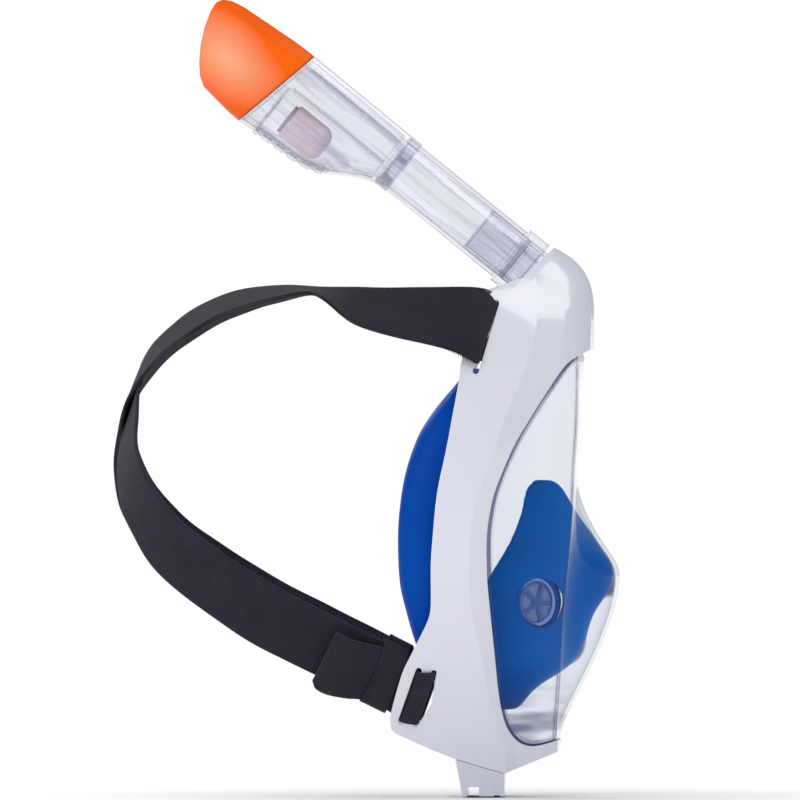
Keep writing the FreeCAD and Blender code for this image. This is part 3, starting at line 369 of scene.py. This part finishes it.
# ------------------------------------------------------------------ mesh helpers
def add_mesh(name, verts, faces, body, material, uvs=None):
    """Smooth-shaded piece from vertices in metres, riding on a body."""
    mesh = bpy.data.meshes.new(name)
    mesh.from_pydata([tuple(v) for v in verts], [], faces)
    if uvs is not None:
        layer = mesh.uv_layers.new(name="UVMap")
        for loop in mesh.loops:
            layer.data[loop.index].uv = uvs[loop.vertex_index]
    mesh.update()
    mesh.polygons.foreach_set("use_smooth", [True] * len(mesh.polygons))
    obj = bpy.data.objects.new(name, mesh)
    bpy.context.scene.collection.objects.link(obj)
    obj.data.materials.append(material)
    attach(obj, body)
    return obj


def catmull(points, t):
    """Point on a Catmull-Rom chain at t in 0..len-1."""
    n = len(points)
    i = min(int(t), n - 2)
    f = t - i
    p1, p2 = points[i], points[i + 1]
    p0 = points[i - 1] if i > 0 else p1 * 2 - p2
    p3 = points[i + 2] if i + 2 < n else p2 * 2 - p1
    return 0.5 * ((2 * p1) + (p2 - p0) * f + (2 * p0 - 5 * p1 + 4 * p2 - p3) * f * f
                  + (3 * p1 - p0 - 3 * p2 + p3) * f ** 3)


def grid_faces(rows, cols, wrap_rows=False, wrap_cols=False):
    """Quads of a rows by cols grid of vertices, closed on itself where asked."""
    faces = []
    for i in range(rows if wrap_rows else rows - 1):
        for j in range(cols if wrap_cols else cols - 1):
            a, b = i * cols + j, i * cols + (j + 1) % cols
            c, d = ((i + 1) % rows) * cols + (j + 1) % cols, ((i + 1) % rows) * cols + j
            faces.append((a, b, c, d))
    return faces


def lookup(x, table):
    """Smooth lookup in a list of (x, y) sorted by x."""
    pts = [Vector((a, b, 0)) for a, b in table]
    if x <= table[0][0]:
        return table[0][1]
    for i in range(len(table) - 1):
        if x <= table[i + 1][0]:
            f = (x - table[i][0]) / (table[i + 1][0] - table[i][0])
            return catmull(pts, i + f).y
    return table[-1][1]


# ------------------------------------------------------------------ strap
WEB = 1.5          # webbing thickness, mm
BAND_LIFT = 1.2    # how far each band is lifted off the other where they cross, mm
LIFT_HOLDS, LIFT_FADES = 3, 7   # stations from the crossing with full lift, and with none
SAMPLES = 10       # cross sections between two stations
SELVAGE = 1.12     # the edges of the webbing are this much thicker than its middle
EDGE_WAVE = 0.2    # how far the edges wander along the strap, mm
CROSSING = 9       # station where the two bands cross behind the head
BAND = [  # one band from the upper slot to the lower tab: edge pairs (x, y, z) in mm, upper end on +y
    ((-12, 58.6, 241.6), (-16, 74.0, 212.5)),
    ((-36, 62.0, 241.0), (-40, 80.0, 218.5)),
    ((-60, 53.5, 241.2), (-60, 77.5, 224.5)),
    ((-82, 39.0, 241.2), (-80, 68.0, 238.2)),
    ((-104, 26.0, 241.0), (-102, 55.0, 234.5)),
    ((-128, 13.0, 234.8), (-123, 41.5, 227.5)),
    ((-149, 1.0, 221.0), (-145.5, 29.0, 214.0)),
    ((-159.8, -8.0, 208.0), (-162.0, 19.5, 197.5)),
    ((-164.0, -17.0, 197.0), (-170.0, 9.0, 182.0)),
    ((-165.5, -29.0, 182.0), (-174.1, -6.0, 163.0)),
    ((-164.5, -42.0, 163.0), (-174, -20.0, 144.0)),
    ((-156, -54.0, 146.0), (-168, -35.0, 126.5)),
    ((-142, -64.0, 130.5), (-154.5, -49.5, 106.5)),
    ((-122, -71.5, 116.0), (-134, -61.5, 90.0)),
    ((-98, -76.5, 101.0), (-109, -68.0, 73.4)),
    ((-72.0, -77.0, 87.6), (-83.5, -65.6, 60.6)),
    ((-46.0, -70.2, 74.6), (-57.3, -57.8, 47.5)),
    ((-33.6, -66.4, 68.4), (-44.8, -53.0, 41.2)),
]
# upper end: inner return, round the rear edge of the slot and out over the side of the frame
UPPER_LOOP = [
    ((-14.0, 52.0, 235.6), (-18.4, 63.4, 214.8)),
    ((-6.0, 50.5, 235.4), (-12.4, 62.8, 211.8)),
    ((1.0, 49.2, 235.0), (-6.4, 62.6, 208.0)),
    ((5.4, 49.8, 234.8), (-3.4, 64.2, 206.4)),
    ((6.9, 52.4, 234.9), (-2.2, 67.2, 206.0)),
    ((6.0, 54.8, 235.6), (-3.2, 69.6, 206.0)),
    ((1.0, 56.8, 240.2), (-7.4, 71.4, 208.6)),
]
# lower end: forward under the middle bar, out of the front slot, back over the bar and in again,
# then out behind the tab as the outer layer, through the sleeve to a free tail
LOWER_LOOP = [
    ((-26.5, -62.4, 61.6), (-35.4, -48.6, 37.0)),
    ((-22.9, -63.6, 59.6), (-31.5, -49.8, 35.0)),
    ((-22.3, -67.2, 59.3), (-31.0, -53.0, 34.8)),
    ((-24.2, -69.9, 59.3), (-32.8, -55.7, 34.8)),
    ((-28.2, -70.1, 59.4), (-36.8, -55.9, 35.4)),
    ((-30.2, -68.2, 60.2), (-38.8, -54.0, 36.2)),
    ((-31.2, -67.6, 62.6), (-40.4, -54.0, 38.0)),
    ((-36.0, -69.2, 67.4), (-47.0, -56.2, 42.6)),
    ((-45.6, -72.4, 71.4), (-57.2, -60.0, 46.6)),
    ((-53.0, -75.8, 73.2), (-65.0, -62.6, 47.4)),
    ((-61.0, -80.4, 75.6), (-73.6, -65.4, 49.0)),
    ((-67.4, -83.0, 78.6), (-78.6, -68.0, 51.6)),
    ((-69.4, -83.8, 77.2), (-80.2, -69.8, 55.2)),
]


def web_section():
    """Section round the webbing as (share of its breadth, height in mm), selvages slightly thicker."""
    cols = 14
    side = []
    for j in range(cols + 1):
        u = j / cols
        bead = SELVAGE if (u < 0.06 or u > 0.94) else 1.0
        side.append((max(0.012, min(0.988, u)), WEB / 2 * bead))
    return [(0.0, 0.0)] + side + [(1.0, 0.0)] + [(u, -h) for u, h in side[::-1]]


def strip_mesh(name, pairs, lifts, material, seed):
    """Closed webbing strip through edge pairs (mm), lifted along its normal by lifts (mm)."""
    a = [Vector(p[0]) for p in pairs]
    b = [Vector(p[1]) for p in pairs]
    lift = [Vector((v, 0, 0)) for v in lifts]
    total = (len(pairs) - 1) * SAMPLES + 1
    frames = []
    for k in range(total):
        t = k / SAMPLES
        frames.append((catmull(a, t), catmull(b, t), catmull(lift, t).x))
    ring = web_section()
    verts, uvs = [], []
    run = 0.0
    previous = None
    for k, (pa, pb, up) in enumerate(frames):
        k0, k1 = max(k - 1, 0), min(k + 1, total - 1)
        along = (frames[k1][0] + frames[k1][1] - frames[k0][0] - frames[k0][1]).normalized()
        across = pb - pa
        normal = along.cross(across).normalized()
        centre = (pa + pb) / 2
        if previous is not None:
            run += (centre - previous).length
        previous = centre
        for u, h in ring:
            wave = EDGE_WAVE * math.sin(run * 0.21 + seed + u * 2.0) * abs(2 * u - 1) ** 2
            p = pa + across * u + normal * (up + h + wave)
            verts.append(p * MM)
            uvs.append((run * MM, u * across.length * MM))
    n = len(ring)
    faces = grid_faces(total, n, wrap_cols=True)
    faces.append(tuple(range(n)))
    faces.append(tuple(reversed(range((total - 1) * n, total * n))))
    return add_mesh(name, verts, faces, "mask", material, uvs)


def mirrored(pairs):
    return [((ax, -ay, az), (bx, -by, bz)) for (ax, ay, az), (bx, by, bz) in pairs]


def make_straps(web, thread):
    """Each band is one length of webbing; thread bars hold its upper fold."""
    pairs = UPPER_LOOP + BAND + LOWER_LOOP
    crossing = len(UPPER_LOOP) + CROSSING - 1
    lifts = []
    for i in range(len(pairs)):
        share = (LIFT_FADES - abs(i - crossing)) / (LIFT_FADES - LIFT_HOLDS)
        lifts.append(BAND_LIFT * max(0.0, min(1.0, share)))
    for label, side, seed in (("strap_band_a", -1, 1.0), ("strap_band_b", 1, 4.0)):
        path = mirrored(pairs) if side < 0 else pairs
        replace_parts(strip_mesh(label + "_web", path, lifts, web, seed), label)
        stitch_mesh(label + "_stitches", side, thread)


STITCHES = 13
STITCH_ROW = ((-17.5, 75.0, 213.4), (-6.6, 72.2, 208.3))   # first and last stitch of the +y fold, mm
STITCH_SIDES = 5


def stitch_mesh(name, side, material):
    """Row of overlock stitches round the lower edge of the upper fold."""
    start, end = (Vector((x, side * y, z)) for x, y, z in STITCH_ROW)
    verts, faces = [], []
    for k in range(STITCHES):
        foot = start.lerp(end, k / (STITCHES - 1))
        foot += Vector((random.uniform(-0.1, 0.1), 0, random.uniform(-0.1, 0.1)))
        rise = Vector((-0.3, side * -0.9, 2.6))
        run = (end - start).normalized() * 0.26
        out = Vector((0, side * 0.32, 0))
        low, high = foot - rise * 0.28, foot + rise * 0.72
        base = len(verts)
        for centre, grow in ((low, 0.5), (foot, 1.0), (high, 0.7)):
            for corner in (run + out, out * 1.4, -run + out, -run - out, run - out):
                verts.append((centre + corner * grow) * MM)
        faces += [tuple(base + i for i in f) for f in grid_faces(3, STITCH_SIDES, wrap_cols=True)]
        faces.append(tuple(base + j for j in reversed(range(STITCH_SIDES))))
        faces.append(tuple(base + 2 * STITCH_SIDES + j for j in range(STITCH_SIDES)))
    add_mesh(name, verts, faces, "mask", material)


# keeper sleeves, mm
KEEPER_FRONT = 1.7           # front end behind the last station of the band
KEEPER_LENGTH = 13.0
KEEPER_HALF_BREADTH = 17.4
KEEPER_HALF_THICK = 3.7
KEEPER_WALL = 1.0
KEEPER_OUT = 0.8             # middle of the sleeve outside the band, round the tail as well
KEEPER_ROWS = 27
KEEPER_GIRTH = 0.078         # length of webbing round the sleeve, metres


def flat_ring(half_breadth, half_thick, count=24, arc=8):
    """Section of a flat sleeve: straight sides joined by half circles, as (breadth, thickness)."""
    flat = half_breadth - half_thick
    top = [(flat * (2 * i / count - 1), half_thick) for i in range(count)]
    right = [(flat + half_thick * math.sin(math.pi * i / arc), half_thick * math.cos(math.pi * i / arc))
             for i in range(arc)]
    half = top + right
    return half + [(-b, -t) for b, t in half]


def keeper_axes(side):
    """Middle of the front end of a sleeve and its directions along, across and out of the band."""
    (a0, b0), (a1, b1) = [(Vector((ax, -side * ay, az)), Vector((bx, -side * by, bz)))
                          for (ax, ay, az), (bx, by, bz) in BAND[-2:]]
    along = (a1 + b1 - a0 - b0).normalized()
    across = (b1 - a1).normalized()
    normal = along.cross(across).normalized()
    if normal.y * side < 0:
        normal = -normal
    front = (a1 + b1) * 0.5 - along * KEEPER_FRONT + normal * KEEPER_OUT
    return front, along, across, normal


def sleeve_faces(rows, count):
    """Outer wall, inner wall and the two open ends; each row holds an outer and an inner ring."""
    width = 2 * count
    faces = []
    for i in range(rows - 1):
        for j in range(count):
            a, b = i * width + j, i * width + (j + 1) % count
            faces.append((a, b, b + width, a + width))
            a, b = a + count, b + count
            faces.append((b, a, a + width, b + width))
    for i in (0, rows - 1):
        for j in range(count):
            k = (j + 1) % count
            ring = (i * width + j, i * width + count + j, i * width + count + k, i * width + k)
            faces.append(ring if i == 0 else ring[::-1])
    return faces


def make_keepers(web):
    """Sewn elastic sleeves: flat tubes with a rolled seam round the rear edge."""
    outer = flat_ring(KEEPER_HALF_BREADTH, KEEPER_HALF_THICK)
    inner = flat_ring(KEEPER_HALF_BREADTH - KEEPER_WALL, KEEPER_HALF_THICK - KEEPER_WALL)
    for word, side in (("left", 1), ("right", -1)):
        front, along, across, normal = keeper_axes(side)
        verts, uvs = [], []
        for i in range(KEEPER_ROWS):
            f = i / (KEEPER_ROWS - 1)
            # a raised seam near the rear edge with a shallow groove in front of it
            seam = 0.5 * math.exp(-((f - 0.93) / 0.045) ** 2) - 0.25 * math.exp(-((f - 0.83) / 0.03) ** 2)
            for ring, swell in ((outer, 1.0), (inner, 0.0)):
                for j, (b, t) in enumerate(ring):
                    grow = 1.0 + swell * seam / KEEPER_HALF_THICK
                    back = KEEPER_LENGTH * f + 0.5 * math.sin(b * 0.16 + side) * f
                    verts.append((front + across * b + normal * t * grow - along * back) * MM)
                    uvs.append((f * KEEPER_LENGTH * MM, j / len(outer) * KEEPER_GIRTH))
        piece = add_mesh("strap_keeper_%s_sleeve" % word, verts, sleeve_faces(KEEPER_ROWS, len(outer)),
                         "sleeve_" + word, web, uvs)
        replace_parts(piece, "strap_keeper_" + word)


# ------------------------------------------------------------------ skirt and cup
# height and depth (z, x) of the rearmost line of the skirt and of the frame edge that holds it, mm
SKIRT_REAR = [(30, -18), (45, -20), (52, -22), (60, -26), (73, -31.6), (84, -35), (101, -39),
              (123, -40), (139, -39), (156, -36), (173, -30), (185, -22), (197, -12), (208, -4)]
FRAME_REAR = [(30, -15), (45, -16.5), (60, -20), (84, -23.5), (110, -24), (145, -21), (164, -17),
              (182, -13.7), (197, -11), (208, -8)]
# right half of the outline where the skirt leaves the frame, as (y, z) in mm from the top down
OPENING = [(0, 206), (30, 203.5), (52, 194), (67, 174), (75, 148), (77.5, 120), (74, 90), (64, 64), (48, 45),
           (26, 34), (0, 31.5)]
CENTRE_Z = 118.0
# section of the skirt: mm inwards, share of the way from frame edge to skirt rear, extra x in mm;
# down the outside from the clamped lip, round the rim and back up the inside
SKIRT_SECTION = [
    (3.0, 0.0, 9.0), (3.0, 0.0, 4.0), (2.6, 0.0, 0.5), (2.2, 0.18, 0.0), (2.0, 0.4, 0.0),
    (2.7, 0.66, 0.0), (4.8, 0.88, 0.0), (8.2, 0.985, 0.0), (12.5, 1.0, 0.1), (17.0, 0.97, 0.8),
    (21.5, 0.9, 2.0), (25.2, 0.8, 3.6), (26.0, 0.78, 4.4), (25.2, 0.78, 5.4), (21.0, 0.88, 3.8),
    (16.5, 0.94, 2.8), (12.6, 0.95, 2.4), (9.2, 0.92, 2.4), (6.8, 0.82, 2.2), (5.0, 0.62, 1.6),
    (4.4, 0.4, 1.2), (4.4, 0.2, 1.0), (5.0, 0.0, 1.6), (5.0, 0.0, 4.0), (5.0, 0.0, 9.0),
]
SKIRT_STATIONS = 160


def opening_loop(count):
    """Smooth closed outline of the face opening as (y, z)."""
    half = [Vector((w, z, 0)) for w, z in OPENING]
    full = half + [Vector((-p.x, p.y, 0)) for p in half[-2:0:-1]]
    n = len(full)
    pts = []
    for k in range(count):
        t = k / count * n
        i = int(t)
        window = [full[(i + d) % n] for d in (-1, 0, 1, 2)]
        pts.append(catmull(window, 1 + t - i))
    return [(p.x, p.y) for p in pts]


def make_skirt(material):
    """Face seal: clamped lip, bulging wall, rounded rim and a thin inner lip that turns forward."""
    loop = opening_loop(SKIRT_STATIONS)
    verts = []
    for inwards, reach, shift in SKIRT_SECTION:
        for y, z in loop:
            dist = math.hypot(y, z - CENTRE_Z)
            scale = (dist - inwards) / dist
            yy, zz = y * scale, CENTRE_Z + (z - CENTRE_Z) * scale
            front, rear = lookup(zz, FRAME_REAR), lookup(zz, SKIRT_REAR)
            verts.append(Vector((front + reach * (rear - front) + shift, yy, zz)) * MM)
    faces = grid_faces(len(SKIRT_SECTION), len(loop), wrap_rows=True, wrap_cols=True)
    obj = add_mesh("face_skirt_seal", verts, faces, "mask", material)
    sub = obj.modifiers.new("smooth", "SUBSURF")
    sub.levels = sub.render_levels = 1
    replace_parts(obj, "face_skirt")


def soft_piece(node, name, body, material, voxel, rounds):
    """Soft stand-in for a CAD solid: fine even mesh with its edges rounded over."""
    obj = bpy.data.objects.new(name, NODES[node].data.copy())
    bpy.context.scene.collection.objects.link(obj)
    obj.data.materials.clear()
    obj.data.materials.append(material)
    even = obj.modifiers.new("even", "REMESH")
    even.mode = "VOXEL"
    even.voxel_size = voxel
    even.use_smooth_shade = True
    soft = obj.modifiers.new("soft", "SMOOTH")
    soft.factor = 0.5
    soft.iterations = rounds
    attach(obj, body)
    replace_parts(obj, node)
    return obj


VALVE_CENTRE = (25.6, 28.2, 92.0)    # inlet valve on the +y side of the cup, mm
VALVE_TILT = math.radians(39.0)
COLLAR_RADIUS, COLLAR_HALF_HIGH, COLLAR_HALF_WIDE = 12.6, 1.5, 1.0
COLLAR_SINK = 0.2                    # how far the collar sits below the valve centre


def torus(centre, axis, radius, half_high, half_wide, count=64, sides=12):
    """Ring of oval section about an axis, as vertices in mm and faces."""
    centre, axis = Vector(centre), Vector(axis).normalized()
    e1 = axis.orthogonal().normalized()
    e2 = axis.cross(e1)
    verts = []
    for i in range(count):
        a = 2 * math.pi * i / count
        out = e1 * math.cos(a) + e2 * math.sin(a)
        for j in range(sides):
            b = 2 * math.pi * j / sides
            verts.append(centre + out * (radius + half_wide * math.cos(b)) + axis * half_high * math.sin(b))
    return verts, grid_faces(count, sides, wrap_rows=True, wrap_cols=True)


def make_cup_details(material):
    """Raised collars round the two inlet valves of the cup."""
    verts, faces = [], []
    for side in (1, -1):
        x, y, z = VALVE_CENTRE
        axis = Vector((math.sin(VALVE_TILT), side * math.cos(VALVE_TILT), 0))
        ring, ring_faces = torus(Vector((x, side * y, z)) - axis * COLLAR_SINK, axis,
                                 COLLAR_RADIUS, COLLAR_HALF_HIGH, COLLAR_HALF_WIDE)
        base = len(verts)
        verts += [v * MM for v in ring]
        faces += [tuple(base + i for i in f) for f in ring_faces]
    add_mesh("nose_cup_collars", verts, faces, "mask", material)


# ------------------------------------------------------------------ scene
def paint(node, material):
    """Give a CAD piece its material."""
    obj = NODES[node]
    obj.data.materials.clear()
    obj.data.materials.append(material)


CAMERA_DISTANCE = 16.0            # far away: the side view is nearly parallel
CAMERA_AZIMUTH, CAMERA_ELEVATION = math.radians(1.0), math.radians(0.55)
CAMERA_TARGET = Vector((-0.0389, -0.06, 0.1886))
FIELD = 0.3791                    # breadth of the picture at the target, metres
SENSOR = 36.0


def make_camera():
    data = bpy.data.cameras.new("camera")
    cam = bpy.data.objects.new("camera", data)
    bpy.context.scene.collection.objects.link(cam)
    flat = math.cos(CAMERA_ELEVATION)
    back = Vector((math.sin(CAMERA_AZIMUTH) * flat, -math.cos(CAMERA_AZIMUTH) * flat,
                   math.sin(CAMERA_ELEVATION)))
    cam.location = CAMERA_TARGET + back * CAMERA_DISTANCE
    cam.rotation_mode = "QUATERNION"
    cam.rotation_quaternion = (-back).to_track_quat("-Z", "Y")
    data.sensor_width = SENSOR
    data.lens = SENSOR * CAMERA_DISTANCE / FIELD
    data.clip_start, data.clip_end = 0.1, 100.0
    bpy.context.scene.camera = cam


def make_floor():
    """Pale floor that takes a soft shadow near the part and fades into the backdrop."""
    g = Graph("floor_white")
    shade = g.ramp(g.noise(g.coords(), 3.0), [(0.3, (0.93, 0.93, 0.93, 1)), (0.7, (0.96, 0.96, 0.96, 1))])
    matte = g.principled(shade, 0.7)
    glow = g.node("ShaderNodeEmission", Color=(1, 1, 1, 1), Strength=1.0)
    reach = g.node("ShaderNodeVectorMath", operation="LENGTH")
    g.link(g.coords(), reach.inputs[0])
    fade = g.value_ramp(reach.outputs["Value"], 0.03, 0.22)
    g.finish(mix_shaders(g, fade, matte, glow.outputs[0]))
    bpy.ops.mesh.primitive_plane_add(size=120, location=(0, 0, -0.0006))
    floor = bpy.context.object
    floor.name = "floor"
    floor.data.materials.append(g.mat)


def make_world():
    """White behind the part; as a light it is brightest above and to the rear, dim in front and below."""
    world = bpy.data.worlds.new("studio")
    bpy.context.scene.world = world
    world.use_nodes = True
    tree = world.node_tree
    tree.nodes.clear()
    out = tree.nodes.new("ShaderNodeOutputWorld")
    mix = tree.nodes.new("ShaderNodeMixShader")
    ray = tree.nodes.new("ShaderNodeLightPath")
    plain = tree.nodes.new("ShaderNodeBackground")
    plain.inputs["Color"].default_value = (1, 1, 1, 1)
    studio = tree.nodes.new("ShaderNodeBackground")
    studio.inputs["Strength"].default_value = 0.70
    coord = tree.nodes.new("ShaderNodeTexCoord")
    level = tree.nodes.new("ShaderNodeVectorMath")
    level.operation = "DOT_PRODUCT"
    level.inputs[1].default_value = (-0.50, -0.06, 0.48)
    half = tree.nodes.new("ShaderNodeMath")
    half.operation = "ADD"
    half.inputs[1].default_value = 0.5
    ramp = tree.nodes.new("ShaderNodeValToRGB")
    low, high = ramp.color_ramp.elements
    low.position, low.color = 0.1, (0.48, 0.50, 0.58, 1)
    high.position, high.color = 0.85, (1.0, 1.0, 1.0, 1)
    tree.links.new(coord.outputs["Generated"], level.inputs[0])
    tree.links.new(level.outputs["Value"], half.inputs[0])
    tree.links.new(half.outputs[0], ramp.inputs["Fac"])
    tree.links.new(ramp.outputs["Color"], studio.inputs["Color"])
    tree.links.new(ray.outputs["Is Camera Ray"], mix.inputs[0])
    tree.links.new(studio.outputs[0], mix.inputs[1])
    tree.links.new(plain.outputs[0], mix.inputs[2])
    tree.links.new(mix.outputs[0], out.inputs["Surface"])


def area_light(name, location, size, energy, aim=(-0.04, 0.0, 0.17)):
    """Square soft box aimed at a point of the part."""
    data = bpy.data.lights.new(name, "AREA")
    data.shape = "RECTANGLE"
    data.size = data.size_y = size
    data.energy = energy
    obj = bpy.data.objects.new(name, data)
    bpy.context.scene.collection.objects.link(obj)
    obj.location = location
    obj.rotation_mode = "QUATERNION"
    obj.rotation_quaternion = (Vector(aim) - Vector(location)).to_track_quat("-Z", "Y")
    return obj


def make_studio():
    make_camera()
    make_floor()
    make_world()
    area_light("key", (-0.5, -1.1, 1.0), 0.9, 4.6)
    # seen only as a reflection on the brow: it adds no diffuse light
    patch = area_light("hood", (0.72, -0.22, 1.15), 0.7, 4.4, aim=(0.03, -0.03, 0.24))
    patch.visible_diffuse = False
    area_light("rim", (-0.7, 1.1, 0.9), 0.8, 5.0)
    scene = bpy.context.scene
    scene.view_settings.view_transform = "Standard"
    scene.view_settings.look = "None"
    scene.cycles.transparent_max_bounces = 48


def paint_hard_pieces():
    """Materials of the pieces that show their CAD shape."""
    shell = white_plastic("white_shell", srgb(228, 229, 241))
    chin = white_plastic("white_chin", srgb(222, 223, 236), 0.24)
    # the visor gets a painted navy shade along the frame and wherever other pieces stand close to it
    # the visor gets painted reflection and refraction of the chin frame at its foot
    visor = clear_plastic("visor_clear", (0.885, 0.905, 0.945, 1), srgb(58, 74, 132), 0.4, line=0.9,
                          contact_shade_color=srgb(22, 44, 104), foot_reflection=True)
    tube = clear_plastic("tube_clear", (0.88, 0.885, 0.925, 1), srgb(150, 152, 184), 0.6, line=0.8,
                         streaks=True, shine_on=0.04)
    walls = clear_plastic("wall_clear", (0.90, 0.905, 0.94, 1), srgb(112, 112, 134), 0.9, haze=0.06, line=0.9)
    seat = clear_plastic("seat_clear", (0.42, 0.58, 0.84, 1), srgb(150, 178, 222), 0.5, haze=0.1, line=0.4)
    looks = [
        (shell, ("frame_shell",)),
        (chin, ("chin_cap", "retaining_ring", "purge_seat")),
        (visor, ("visor",)),
        (tube, ("snorkel_spigot", "snorkel_tube", "dry_top_body", "release_latch")),
        (walls, ("airway_wall_rear", "airway_wall_front", "float_seat", "vent_cover")),
        (seat, ("inlet_seat_left", "inlet_seat_right")),
        (steel("stainless"), ("chin_screws", "spigot_screws", "latch_pin")),
        (signal_orange("cap_orange"), ("snorkel_cap",)),
        (foam("float_pale"), ("float",)),
    ]
    for material, nodes in looks:
        for node in nodes:
            paint(node, material)


def make_soft_pieces():
    """Webbing and silicone: the CAD solids of these are only stand-ins."""
    blue = silicone("skirt_blue", srgb(0, 84, 186), srgb(0, 70, 168))
    cup_blue = silicone("cup_blue", srgb(8, 118, 206), srgb(0, 88, 176), 0.34, spread=16.0, shine=0.015)
    flap = silicone("flap_pale", srgb(150, 172, 210), srgb(132, 156, 198), 0.4)
    pale = silicone("valve_pale", srgb(196, 203, 214), srgb(176, 186, 200), 0.4)
    web = elastic("elastic_black")
    sleeve = elastic("elastic_sleeve", 1500.0, 1500.0)
    make_straps(web, sleeve)
    make_keepers(sleeve)
    make_skirt(blue)
    soft_piece("nose_cup", "nose_cup_soft", "mask", cup_blue, 0.0008, 8)
    make_cup_details(cup_blue)
    soft_piece("inlet_disc_left", "inlet_flap_left", "flap_left", flap, 0.0003, 3)
    soft_piece("inlet_disc_right", "inlet_flap_right", "flap_right", flap, 0.0003, 3)
    soft_piece("purge_disc", "purge_flap", "flap_purge", pale, 0.0003, 3)
    soft_piece("spigot_seal", "seal_ring", "mask", pale, 0.0003, 2)
    soft_piece("float_pad", "float_pad_soft", "dry_float", pale, 0.0004, 3)


paint_hard_pieces()
make_soft_pieces()
make_studio()
